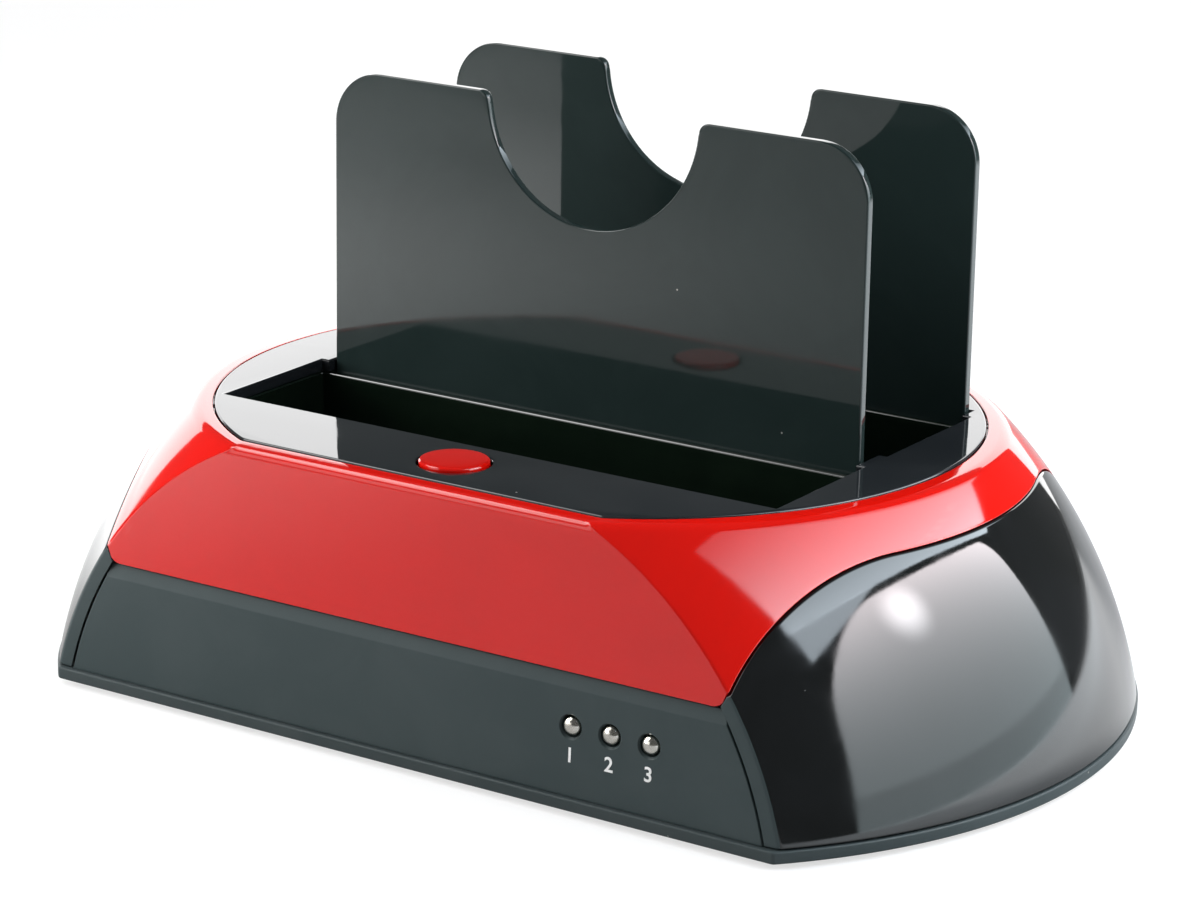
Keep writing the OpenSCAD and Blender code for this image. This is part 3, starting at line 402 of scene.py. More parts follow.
def cutMesh(mesh, cutters, material):  # takes the cutters away from a mesh
    target = addObject("blank", mesh)
    tools = [addObject("cutter", cutter) for cutter in cutters]
    for tool in tools:
        cut = target.modifiers.new("cut", "BOOLEAN")
        cut.object = tool
        cut.solver = "EXACT"
    bpy.context.view_layer.update()
    ready = target.evaluated_get(bpy.context.evaluated_depsgraph_get())
    result = bpy.data.meshes.new_from_object(ready)
    for old in [target, *tools]:
        bpy.data.objects.remove(old)
    return settle(result, material)


# The housing's form: two round ends that bulge, cut by leaning front and rear faces

housing = {
    "endCentre": 8.4,       # middle to the centre of each round end
    "endLow": 82.0,         # radius of the ends at the tray
    "endHigh": 58.3,        # and at the deck
    "bulge": 84.0,         # radius of their upright curve
    "trayZ": 1.0,
    "floorZ": 3.0,
    "deckZ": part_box("deck")[1].z / mm,
    "coverZ": 22.6,         # lower edge of the red cover
    "panelTop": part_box("front_panel")[1].z / mm,
    "halfDepth": 55.1,      # front face at the tray
    "lean": 2.1,            # degrees
    "crease": 1.3,          # rounding where face and end meet
    "wall": 1.9,
    "seam": 0.25,
    "archTop": 40.25,
    "archFlat": 22.8,       # half width of the arch's level top
    "archShoulder": 40.0,
    "archStart": 58.4,
    "cornerZ": 24.0,        # where the arch runs into the cover's lower corner
}
rise = housing["deckZ"] - housing["trayZ"]
fall = housing["endLow"] - housing["endHigh"]
chord = math.hypot(rise, fall)
sagitta = math.sqrt(housing["bulge"] ** 2 - (chord / 2) ** 2)
bulgeR = (housing["endLow"] + housing["endHigh"]) / 2 - sagitta * rise / chord
bulgeZ = housing["trayZ"] + rise / 2 - sagitta * fall / chord


def endRadius(z):
    return bulgeR + np.sqrt(housing["bulge"] ** 2 - (z - bulgeZ) ** 2)


def faceDepth(z):
    return housing["halfDepth"] - (z - housing["trayZ"]) * math.tan(math.radians(housing["lean"]))


def archHeight(y, gap):
    over = np.maximum(np.abs(y) - housing["archFlat"], 0)
    shoulder = housing["archShoulder"]
    return housing["archTop"] - shoulder + np.sqrt(np.maximum((shoulder - gap) ** 2 - over ** 2, 0))


# radius of the cover's rounded lower corner
cornerRise = float(archHeight(faceDepth(housing["cornerZ"]), 0)) - housing["coverZ"]


def coverBound(x, y):  # height of the cover's lower edge over a place
    run = np.clip(np.abs(x) - housing["archStart"] + cornerRise, 0, cornerRise)
    low = housing["coverZ"] + cornerRise - np.sqrt(cornerRise ** 2 - run ** 2)
    return np.where(np.abs(x) > housing["archStart"], archHeight(y, 0), low)


def shellBound(x, y):  # and of the end shell's upper edge
    under = coverBound(x, y) - (housing["coverZ"] - housing["panelTop"])
    return np.where(np.abs(x) > housing["archStart"], archHeight(y, housing["seam"]), under)


def quarterPlan(kind, share, centre, radius, depth, crease):
    # plan of a quarter, from the front's middle to the end's middle: 0 line, 1 crease, 2 round end
    bendX = centre + np.sqrt((radius - crease) ** 2 - (depth - crease) ** 2)
    bendY = crease - depth
    turn = np.arctan2(bendY, bendX - centre)
    bend = share * (turn + math.pi / 2) - math.pi / 2
    sweep = turn * (1 - share)
    one = np.ones_like(share)
    x = np.select([kind == 0, kind == 1], [share * bendX, bendX + crease * np.cos(bend)],
                  centre + radius * np.cos(sweep))
    y = np.select([kind == 0, kind == 1], [-depth * one, bendY + crease * np.sin(bend)],
                  radius * np.sin(sweep))
    return x, y


def edgeHeights(plan, bound, low, high, count):  # where each column meets a bounding edge
    low, high = np.full(count, low, float), np.full(count, high, float)
    for _ in range(48):
        middle = (low + high) / 2
        over = middle > bound(*plan(middle))
        high = np.where(over, middle, high)
        low = np.where(over, low, middle)
    return (low + high) / 2


def flipY(points):
    return points * np.array([1, -1, 1])


def flipX(points):
    return points * np.array([-1, 1, 1])


def wholeRing(quarter):  # mirrors a quarter's columns round the whole housing
    right = np.concatenate([quarter, flipY(quarter[:, -2::-1])], axis=1)
    return np.concatenate([right, flipX(right[:, -2:0:-1])], axis=1)


def stack(x, y, z):
    return np.stack(np.broadcast_arrays(x, y, z), axis=-1)


def wholeLoop(x, y):  # a quarter's plan mirrored to a closed outline
    return wholeRing(stack(x, y, 0.0)[None])[0][:, :2]


def columnShares(line, bends, arcs):  # kinds and shares for quarterPlan
    kind = np.concatenate([np.zeros(len(line)), np.ones(bends), np.full(arcs, 2)])
    share = np.concatenate([line, np.linspace(0, 1, bends + 1)[:-1], np.linspace(0, 1, arcs)])
    return kind, share


def curve3(first, middle, last, steps):  # rows along a small rounding, without its first row
    return [first * (1 - t) ** 2 + middle * 2 * t * (1 - t) + last * t ** 2
            for t in np.linspace(0, 1, steps + 1)[1:]]


# Deck plate, which the cover's rim runs up to

deckForm = {
    "centre": 6.4,          # centre of its round ends
    "radius": 57.2,
    "halfDepth": float(faceDepth(housing["deckZ"] - 1.1)) - 3.1 - housing["seam"],
    "crease": 2.0,
    "thick": 2.2,
    "ledge": 2.4,
    "edge": 0.35,
    "button": (0.0, -40.5),
    "buttonHole": 5.9,
}
bays = {
    "half": 52.5,           # half length of a bay
    "seatHalf": 51.05,      # half length of a board's seat
    "front": (-31.4, -5.0),
    "rear": (2.0, 29.4),
    "back": 32.8,           # rear edge of the rear board's seat
}


def deckQuarter(kind, share, grow):
    return quarterPlan(kind, share, deckForm["centre"], deckForm["radius"] + grow,
                       deckForm["halfDepth"] + grow, deckForm["crease"] + grow)


def housingColumns(lines, bends, arcs):
    # shares of the columns: the front line is closer set at the cover's rounded corner
    base = quarterPlan(np.array([1]), np.array([0.0]), housing["endCentre"],
                       endRadius(housing["coverZ"]), faceDepth(housing["coverZ"]), housing["crease"])[0][0]
    corner = housing["archStart"] - cornerRise
    turned = corner + cornerRise * np.sin(np.radians(np.arange(0, 91, 15)))
    line = np.concatenate([np.linspace(0, corner, lines)[:-1], turned]) / base
    return columnShares(line, bends, arcs)


coverForm = {
    "lines": 16, "bends": 6, "arcs": 60, "rows": 26,
    "lip": 0.14,            # rounding of the lower edge
    "rimStep": 0.15, "rimDrop": 0.35,  # below the deck, at the inside and the crease
    "rimRound": 1.3, "faceRound": (1.6, 0.9),  # rounding of the rim's crease, down the face and the ends
    "rimInner": 0.35,
    "ledgeZ": 42.3,
    "wellHalf": 54.5, "wellFront": -33.4,
    "post": 3.4, "postX": 58.6, "postY": 14.0, "postLow": 5.0,
}


def makeCover():
    c = coverForm
    kind, share = housingColumns(c["lines"], c["bends"], c["arcs"])
    count = len(kind)

    def plan(z, inset=0.0):
        return quarterPlan(kind, share, housing["endCentre"], endRadius(z) - inset, faceDepth(z) - inset,
                           max(housing["crease"] - inset, 0.2))

    def row(z, inset=0.0):
        return stack(*plan(z, inset), z)

    low = edgeHeights(plan, coverBound, housing["coverZ"] - 0.5, housing["archTop"] + 0.5, count)
    rimZ = housing["deckZ"] - c["rimDrop"]
    deckUnder = housing["deckZ"] - deckForm["thick"]
    rows = [row(low, housing["wall"])]
    for a in np.linspace(0, math.pi / 2, 5):
        rows.append(row(low + c["lip"] * (1 - math.cos(a)), c["lip"] * (1 - math.sin(a))))
    ahead, beside = c["faceRound"]
    roll = np.where(kind == 0, ahead, np.where(kind == 1, ahead + (beside - ahead) * share, beside))
    start, top = low + c["lip"], rimZ - roll
    for t in np.linspace(0, 1, c["rows"])[1:]:
        rows.append(row(start + (top - start) * t))
    outer = row(np.full(count, rimZ))
    inner = stack(*deckQuarter(kind, share, housing["seam"]), housing["deckZ"] - c["rimStep"])
    width = np.linalg.norm(inner - outer, axis=1)[:, None]
    rimStart = outer + (inner - outer) * c["rimRound"] / width
    rimEnd = inner - (inner - outer) * c["rimInner"] / width
    rows += curve3(rows[-1], outer, rimStart, 12)
    rows += [rimStart + (rimEnd - rimStart) * t for t in (0.33, 0.67, 1)]
    rows += curve3(rimEnd, inner, inner - np.array([0, 0, c["rimInner"]]), 4)
    rows.append(stack(inner[:, 0], inner[:, 1], deckUnder))
    ledgeX, ledgeY = deckQuarter(kind, share, -deckForm["ledge"])
    aside = np.abs(ledgeY) < -c["wellFront"]
    ledgeX = np.where(aside, np.maximum(ledgeX, c["wellHalf"]), ledgeX)
    rows.append(stack(ledgeX, ledgeY, deckUnder))
    rows.append(stack(ledgeX, ledgeY, c["ledgeZ"]))
    for t in np.linspace(0, 1, 5)[:-1]:
        rows.append(row(c["ledgeZ"] + (low - c["ledgeZ"]) * t, housing["wall"]))
    ring = wholeRing(np.array(rows))
    skin = meshOf("coverSkin", ring, gridFaces(ring.shape[0], ring.shape[1], True, True), redLacquer)
    posts = [latheMesh("post", [(0, c["postLow"]), (c["post"], c["postLow"]), (c["post"], deckUnder),
                                (0, deckUnder)], (sx * c["postX"], sy * c["postY"]), redLacquer, steps=24)
             for sx in (-1, 1) for sy in (-1, 1)]
    mesh = joinMeshes("topCoverForm", [skin, *posts], redLacquer)
    return placePiece("topCover", mesh, "housing", "cover_red", "top_cover")


makeCover()
print("top cover made")


shellForm = {
    "bends": 6, "arcs": 56, "rows": 30,
    "lip": 0.25,            # rounding along the arch and the tray
    "gapRound": 0.15,       # rounding beside the panels
    "stripTurn": 0.85,      # faces turned further than this to the front or back are satin
    "low": housing["floorZ"] + housing["seam"],
}


def makeShell(name, node, side):
    s = shellForm
    kind, share = columnShares([], s["bends"], s["arcs"])
    steps = np.array([[0, 1], [0.08, 0.45], [0.3, 0.1], [1, 0]]) * s["gapRound"]  # along, behind the face
    count = len(steps) + len(kind)

    def plan(z):
        z = np.broadcast_to(z, count)
        head, rest = z[:len(steps)], z[len(steps):]
        depth, inside = faceDepth(head), endRadius(head) - housing["wall"]
        stripX = housing["endCentre"] + np.sqrt(inside ** 2 - depth ** 2) + steps[:, 0]
        stripY = steps[:, 1] - depth
        x, y = quarterPlan(kind, share, housing["endCentre"], endRadius(rest), faceDepth(rest),
                           housing["crease"])
        return np.concatenate([stripX, x]), np.concatenate([stripY, y])

    def row(z, share=0.0):  # share 0 is the outside, 1 the inside of the wall
        z = np.broadcast_to(z, count)
        x, y = plan(z)
        radius = endRadius(z) - housing["wall"]
        limit = np.arcsin((faceDepth(z) - s["gapRound"]) / radius)
        turn = np.clip(np.arctan2(y, x - housing["endCentre"]), -limit, limit)
        inX, inY = housing["endCentre"] + radius * np.cos(turn), radius * np.sin(turn)
        inX[0], inY[0] = x[0], y[0]
        return stack(x + (inX - x) * share, y + (inY - y) * share, z)

    top = edgeHeights(plan, shellBound, housing["panelTop"] - 1, housing["archTop"] + 0.5, count)
    lip, wall = s["lip"], housing["wall"]
    turns = np.linspace(0, math.pi / 2, 4)
    rows = [row(s["low"], 1.0)]
    rows += [row(s["low"] + lip * (1 - math.cos(a)), lip * (1 - math.sin(a)) / wall) for a in turns]
    start, end = s["low"] + lip, top - lip
    rows += [row(start + (end - start) * t) for t in np.linspace(0, 1, s["rows"])[1:]]
    rows += [row(top - lip * (1 - math.sin(a)), lip * (1 - math.cos(a)) / wall) for a in turns[1:]]
    rows += [row(top + (s["low"] - top) * t, 1.0) for t in np.linspace(0, 1, 6)[:-1]]
    half = np.array(rows)
    loop = np.concatenate([half, flipY(half[:, -2::-1])], axis=1)
    if side < 0:
        loop = flipX(loop)
    mesh = meshOf(name + "Form", loop, gridFaces(loop.shape[0], loop.shape[1], True), pianoBlack)
    mesh.materials.append(panelGrey)
    for face in mesh.polygons:  # the strips beside the panels
        face.material_index = int(abs(face.normal.y) > s["stripTurn"])
    return placePiece(name, mesh, "housing", "shell_black", node)


makeShell("rightShell", "shell_right", 1)
makeShell("leftShell", "shell_left", -1)
print("end shells made")


panelForm = {
    "thick": 2.0, "bevel": 2.2, "bevelDepth": 0.9,
    "edge": 0.2,            # rounding of the edges
    "columns": 14,
    "light": (38.6, 7.0, 14.15),  # middle light's place, pitch, height
    "hole": 1.8, "flare": 0.28,
}


def panelMesh(name, side, material):
    p = panelForm
    low, top, edge = housing["floorZ"], housing["panelTop"], p["edge"]
    crest = top - p["bevel"]
    front = float(faceDepth(crest))
    corners = np.array([[faceDepth(low), low], [front, crest], [front - p["bevelDepth"], top],
                        [front - p["thick"], top], [faceDepth(low) - p["thick"], low]])
    rings = []
    for i, here in enumerate(corners):  # each corner of the section becomes a small arc
        back, ahead = corners[i - 1] - here, corners[(i + 1) % len(corners)] - here
        a = here + back / np.linalg.norm(back) * edge
        b = here + ahead / np.linalg.norm(ahead) * edge
        rings += [a] + curve3(a, here, b, 4)
        far = here + ahead * (1 - edge / np.linalg.norm(ahead))
        if i in (0, 3):  # more points up the face and the back, so that the ends follow the shells
            rings += [b + (far - b) * t for t in np.linspace(0, 1, 10)[1:-1]]
    section = np.array(rings)
    outward = section[:, 0] > front - p["thick"] / 2
    reach = housing["endCentre"] + np.sqrt(
        (endRadius(section[:, 1]) - housing["wall"] - housing["seam"]) ** 2 - section[:, 0] ** 2)
    columns = [np.c_[(reach - edge) * share, section] for share in np.linspace(0, 1, p["columns"])[:-1]]
    for a in np.linspace(0, math.pi / 2, 5):
        sunk = section[:, 0] - np.where(outward, edge * (1 - math.cos(a)), 0)
        columns.append(np.c_[reach - edge * (1 - math.sin(a)), sunk, section[:, 1]])
    right = np.array(columns)
    loop = np.concatenate([flipX(right[:0:-1]), right], axis=0) * np.array([1, side, 1])
    rows, cols = loop.shape[:2]
    faces = gridFaces(rows, cols, wrapCols=True)
    faces += [tuple(range(cols)), tuple(range((rows - 1) * cols, rows * cols))]
    return meshOf(name, loop, faces, material)


def holeCutter(x, z, radius, flare, y, ahead=4, wider=3, behind=6):  # a hole that opens out at the face
    profile = [(0, y - ahead), (radius + flare + wider, y - ahead), (radius + flare, y), (radius, y + flare),
               (radius, y + behind), (0, y + behind)]
    return latheMesh("hole", profile, (x, z), panelGrey, axis="y", steps=48)


def makeFrontPanel():
    p = panelForm
    middle, pitch, height = p["light"]
    face = -float(faceDepth(height))
    blank = panelMesh("frontBlank", -1, panelGrey)
    holes = [holeCutter(middle + i * pitch, height, p["hole"], p["flare"], face) for i in (-1, 0, 1)]
    mesh = cutMesh(blank, holes, panelGrey)
    mesh.name = "frontPanelForm"
    return placePiece("frontPanel", mesh, "housing", "panel_grey", "front_panel")


frontPanel = makeFrontPanel()
print("front panel made")


def bayLoop():
    b = bays
    right = [(b["half"], b["front"][0]), (b["half"], b["front"][1]), (b["seatHalf"], b["front"][1]),
             (b["seatHalf"], b["rear"][0]), (b["half"], b["rear"][0]), (b["half"], b["rear"][1]),
             (b["seatHalf"], b["rear"][1]), (b["seatHalf"], b["back"])]
    return np.array(right + [(-x, y) for x, y in reversed(right)])


def deckLoop():
    kind, share = columnShares(np.linspace(0, 1, 9)[:-1], 5, 48)
    return wholeLoop(*deckQuarter(kind, share, 0))


def makeDeck():
    hole = arcPoints(deckForm["button"], deckForm["buttonHole"], 0, 352.5, 48)
    mesh = plateMesh("deckForm", [deckLoop(), bayLoop(), hole], housing["deckZ"] - deckForm["thick"],
                     housing["deckZ"], deckForm["edge"], deckBlack)
    return placePiece("deckPlate", mesh, "housing", "deck_black", "deck")


makeDeck()
print("deck made")


guideForm = {
    "corner": 9.0, "notch": 20.0, "lip": 1.75,
    "foot": 1.0,            # rounding of the lower corners
    "edge": 0.3,
}


def guideLoop(half, low, top):
    g = guideForm
    dip = math.degrees(math.asin(g["lip"] / g["notch"]))
    lipX, lipZ = g["notch"] + g["lip"], top - g["lip"]
    return np.concatenate([
        arcPoints((g["foot"] - half, low + g["foot"]), g["foot"], 180, 270, 6),
        arcPoints((half - g["foot"], low + g["foot"]), g["foot"], 270, 360, 6),
        arcPoints((half - g["corner"], top - g["corner"]), g["corner"], 0, 90, 22),
        arcPoints((lipX, lipZ), g["lip"], 90, 178, 8),
        arcPoints((0, top), g["notch"], -dip - 1, dip + 1 - 180, 64),
        arcPoints((-lipX, lipZ), g["lip"], 2, 90, 8),
        arcPoints((g["corner"] - half, top - g["corner"]), g["corner"], 90, 180, 22)])


def makeGuide(name, node, body):
    low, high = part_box(node)
    loop = guideLoop(high.x / mm, low.z / mm, high.z / mm)
    mesh = plateMesh(node + "Form", [loop], low.y / mm, high.y / mm, guideForm["edge"], boardBlack,
                     upright=True)
    return placePiece(name, mesh, body, "guide_black", node)


makeGuide("frontBoard", "guide_front", "front_board")
makeGuide("rearBoard", "guide_rear", "rear_board")
print("guide boards made")


trayForm = {
    "lip": 0.85,            # the edge stands out this far in front of the panels
    "edge": 0.35,
    "screwHole": 3.0,
    "spread": 0.2,          # and this far beyond the end shells
    "crease": 1.0,
    "ventHalf": (13.0, 1.0), "ventPitch": 6.0, "ventRows": 6, "ventX": 30.0,
}


def slotLoop(x, y, halfLong, halfWide):  # a slot with round ends
    inner = halfLong - halfWide
    return np.concatenate([arcPoints((x + inner, y), halfWide, -90, 90, 9),
                           arcPoints((x - inner, y), halfWide, 90, 270, 9)])


def screwSpots():  # centres of the case screws, read from their CAD form
    found = {}
    for v in nodes["case_screws"].data.vertices:
        key = (v.co.x > 0, v.co.y > 0, abs(v.co.x) / mm > coverForm["postX"] + coverForm["post"])
        found.setdefault(key, []).append((v.co.x / mm, v.co.y / mm))
    spots = []
    for places in found.values():
        places = np.array(places)
        spots.append(tuple((places.min(0) + places.max(0)) / 2))
    return spots


def makeTray():
    t = trayForm
    kind, share = columnShares(np.linspace(0, 1, 9)[:-1], 5, 56)
    outline = wholeLoop(*quarterPlan(kind, share, housing["endCentre"],
                                     endRadius(housing["floorZ"]) + t["spread"],
                                     housing["halfDepth"] + t["lip"], t["crease"]))
    middle = (t["ventRows"] - 1) / 2
    vents = [slotLoop(side * t["ventX"], (i - middle) * t["ventPitch"], *t["ventHalf"])
             for side in (-1, 1) for i in range(t["ventRows"])]
    holes = [arcPoints(spot, t["screwHole"], 0, 348.75, 32) for spot in screwSpots()]
    mesh = plateMesh("trayForm", [outline, *vents, *holes], housing["trayZ"], housing["floorZ"], t["edge"],
                     trayGrey)
    return placePiece("baseTray", mesh, "housing", "tray_plastic", "base_tray")


makeTray()
softPiece("footPads", "feet", 0.3, rubberBlack, "housing", "foot_rubber")
softPiece("caseScrews", "case_screws", 0.15, screwSteel, "housing", "screw_steel")
print("tray, feet and screws made")


buttonForm = {
    "radius": 5.6, "flange": 6.7, "flangeThick": 1.0,
    "round": 0.45,          # rounding of the upper edge
    "dome": 0.06,
    "sink": 0.5,            # its top stands this far below the CAD piece
}


def makeButton():
    b = buttonForm
    low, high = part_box("button")
    base, top = low.z / mm, high.z / mm - b["sink"]
    shoulder = top - b["dome"] - b["round"]
    profile = [(0, base), (b["flange"], base), (b["flange"], base + b["flangeThick"]),
               (b["radius"], base + b["flangeThick"]), (b["radius"], shoulder)]
    for a in np.radians(np.arange(15, 91, 15)):
        profile.append((b["radius"] - b["round"] * (1 - math.cos(a)), shoulder + b["round"] * math.sin(a)))
    edge = b["radius"] - b["round"]
    for share in (0.85, 0.7, 0.5, 0.25, 0):
        profile.append((edge * share, top - b["dome"] * share ** 2))
    mesh = latheMesh("buttonForm", profile, deckForm["button"], redLacquer, steps=96)
    return placePiece("pushButton", mesh, "push_button", "button_red", "button")


makeButton()
print("button made")


lightForm = {
    "radius": 1.6, "collar": 2.0, "collarThick": 1.0,
    "bead": 1.48, "beadBack": 0.4, "beadLong": 3.2,  # the bright bead inside: radius, depth, length
}


def makeLight(index):
    f = lightForm
    low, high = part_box(f"light_{index}")
    spot = ((low.x + high.x) / 2 / mm, (low.z + high.z) / 2 / mm)
    tip, back = low.y / mm, high.y / mm
    profile = []
    for a in np.radians(np.arange(0, 91, 9)):
        profile.append((f["radius"] * math.sin(a), tip + f["radius"] * (1 - math.cos(a))))
    profile += [(f["radius"], back - f["collarThick"]), (f["collar"], back - f["collarThick"]),
                (f["collar"], back), (0, back)]
    mesh = latheMesh(f"light{index}Form", profile, spot, clearLens, axis="y", steps=48)
    placePiece(f"lightLens{index}", mesh, "housing", "light_clear", f"light_{index}")
    start = tip + f["beadBack"]
    bead = [(f["bead"] * math.sin(a), start + f["bead"] * (1 - math.cos(a)))
            for a in np.radians(np.arange(0, 91, 10))]
    bead += [(f["bead"], start + f["beadLong"]), (0, start + f["beadLong"])]
    mesh = latheMesh(f"light{index}Bead", bead, spot, beadSilver, axis="y", steps=32)
    placePiece(f"lightBead{index}", mesh, "housing", "lead_tin")


for index in (1, 2, 3):
    makeLight(index)
print("lights made")


markForm = {
    "height": 2.3, "capShare": 0.7,  # height of a capital, in mm and as a share of the type's size
    "bold": 0.05, "thick": 0.03, "lift": 0.02,
    "below": 4.6,           # numbers below the middle of the lights
    "rockerShift": 3.4,     # marks beside the middle of the rocker
    "weld": 0.0005, "far": 200,  # the casts start this far outside
}


def printMark(name, text, place, side, target, body, slot):  # print that follows the surface below it
    m = markForm
    line = bpy.data.curves.new(f"{name}Line", "FONT")
    line.body, line.align_x, line.align_y = text, "CENTER", "CENTER"
    line.size, line.extrude, line.offset = m["height"] / m["capShare"], m["thick"], m["bold"]
    line.resolution_u = 5
    holder = bpy.data.objects.new(f"{name}Line", line)
    mesh = bpy.data.meshes.new_from_object(holder)
    bpy.data.objects.remove(holder)
    work = bmesh.new()
    work.from_mesh(mesh)
    bmesh.ops.remove_doubles(work, verts=work.verts, dist=m["weld"])
    form = target.data
    under = BVHTree.FromPolygons([v.co for v in form.vertices], [p.vertices for p in form.polygons])
    for vert in work.verts:
        x, z = (place[0] - side * vert.co.x) * mm, (place[1] + vert.co.y) * mm
        spot = under.ray_cast(Vector((x, side * m["far"] * mm, z)), Vector((0, -side, 0)))[0]
        vert.co = Vector((x, spot.y + side * (vert.co.z + m["lift"]) * mm, z))
    work.to_mesh(mesh)
    work.free()
    mesh.materials.clear()
    mesh.materials.append(printWhite)
    return placePiece(name, mesh, body, slot)


for index in (1, 2, 3):
    middle, pitch, high = panelForm["light"]
    place = (middle + (index - 2) * pitch, high - markForm["below"])
    printMark(f"lightNumber{index}", str(index), place, -1, frontPanel, "housing", "light_clear")
print("numbers made")


for name, node, width, material, slot in (
        ("frontWell", "well_front", 0.4, wellBlack, "deck_black"),
        ("rearWell", "well_rear", 0.4, wellBlack, "deck_black"),
        ("frontDriveSocket", "drive_socket_front", 0.25, socketBlack, "socket_black"),
        ("rearDriveSocket", "drive_socket_rear", 0.25, socketBlack, "socket_black"),
        ("powerJack", "power_jack", 0.3, socketBlack, "socket_black"),
        ("powerSwitch", "power_switch", 0.3, socketBlack, "rocker_black"),
        ("dataSocket", "data_socket", 0.12, platedSteel, "sheet_steel"),
        ("hubSockets", "hub_sockets", 0.12, platedSteel, "sheet_steel"),
        ("socketTongues", "socket_tongues", 0.15, tongueBlue, "tongue_blue"),
        ("cardSlot", "card_slot", 0.15, socketBlack, "socket_black"),
        ("rearPanel", "rear_panel", 0.25, panelGrey, "panel_grey")):
    softPiece(name, node, width, material, "housing", slot)
rocker = softPiece("rockerKey", "rocker", 0.3, rockerBlack, "rocker_switch", "rocker_black")
centre = sum(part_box("rocker"), Vector()) / 2 / mm
for mark, way in (("I", -1), ("O", 1)):
    printMark(f"rockerMark{mark}", mark, (centre.x + way * markForm["rockerShift"], centre.z), 1, rocker,
              "rocker_switch", "screw_steel")
print("sockets and wells made")

insideFinishes = {
    "button_board": boardGreen, "button_switch": socketBlack, "button_screws": screwSteel,
    "light_leads": tinnedWire, "main_board": boardGreen, "board_screws": screwSteel, "chips": chipBlack,
    "capacitors": canAluminium, "drive_contacts": contactGold, "jack_pin": tinnedWire,
}
for node, material in insideFinishes.items():
    nodes[node].data.materials.clear()
    nodes[node].data.materials.append(material)
print("inner pieces finished")


# Camera, at the photograph's viewing angle

view = {
    "place": (342.52, -524.44, 226.11),
    "yaw": 33.185, "tilt": 16.706, "roll": 0.93,  # degrees
    "focal": 4007.2, "imageWidth": 1191, "sensor": 36.0,
}


def makeCamera():
    yaw, tilt, roll = (math.radians(view[key]) for key in ("yaw", "tilt", "roll"))
    back = Vector((math.sin(yaw) * math.cos(tilt), -math.cos(yaw) * math.cos(tilt), math.sin(tilt)))
    right = Vector((math.cos(yaw), math.sin(yaw), 0))
    up = right.cross(-back)
    across = math.cos(roll) * right + math.sin(roll) * up
    upward = -math.sin(roll) * right + math.cos(roll) * up
    data = bpy.data.cameras.new("camera")
    data.sensor_fit = "HORIZONTAL"
    data.sensor_width = view["sensor"]
    data.lens = view["focal"] / view["imageWidth"] * view["sensor"]
    camera = addObject("camera", data)
    camera.matrix_world = Matrix((across, upward, back)).transposed().to_4x4()
    camera.location = Vector(view["place"]) * mm
    bpy.context.scene.camera = camera


makeCamera()


# Stage: a pale floor and the soft panels of a light tent

stageForm = {
    "floor": 3000.0,
    "floorColour": (0.38, 0.38, 0.38, 1),
    "whiteness": 0.66,      # glow of the floor for the camera
    "sheen": 0.12,          # and for gloss and glass
    "world": 0.11,
}


def makeFloor():
    s = stageForm
    mesh = bpy.data.meshes.new("floor")
    reach = s["floor"] * mm
    corners = [(x * reach, y * reach, 0) for x, y in ((-1, -1), (1, -1), (1, 1), (-1, 1))]
    mesh.from_pydata(corners, [], [(0, 1, 2, 3)])
    material, tree, shader = newMaterial("paleFloor")
    path = addNode(tree, "LightPath").outputs
    seen = calculate(tree, "MAXIMUM", path["Is Glossy Ray"], path["Is Transmission Ray"])
    sheen = calculate(tree, "MULTIPLY", seen, s["sheen"])
    glow = calculate(tree, "MULTIPLY_ADD", path["Is Camera Ray"], s["whiteness"], sheen)
    tree.links.new(glow, shader.inputs["Emission Strength"])
    shader.inputs["Emission Color"].default_value = (1, 1, 1, 1)
    shader.inputs["Base Color"].default_value = s["floorColour"]
    shader.inputs["Roughness"].default_value = 0.9
    shader.inputs["Specular IOR Level"].default_value = 0
    mesh.materials.append(material)
    addObject("floor", mesh)


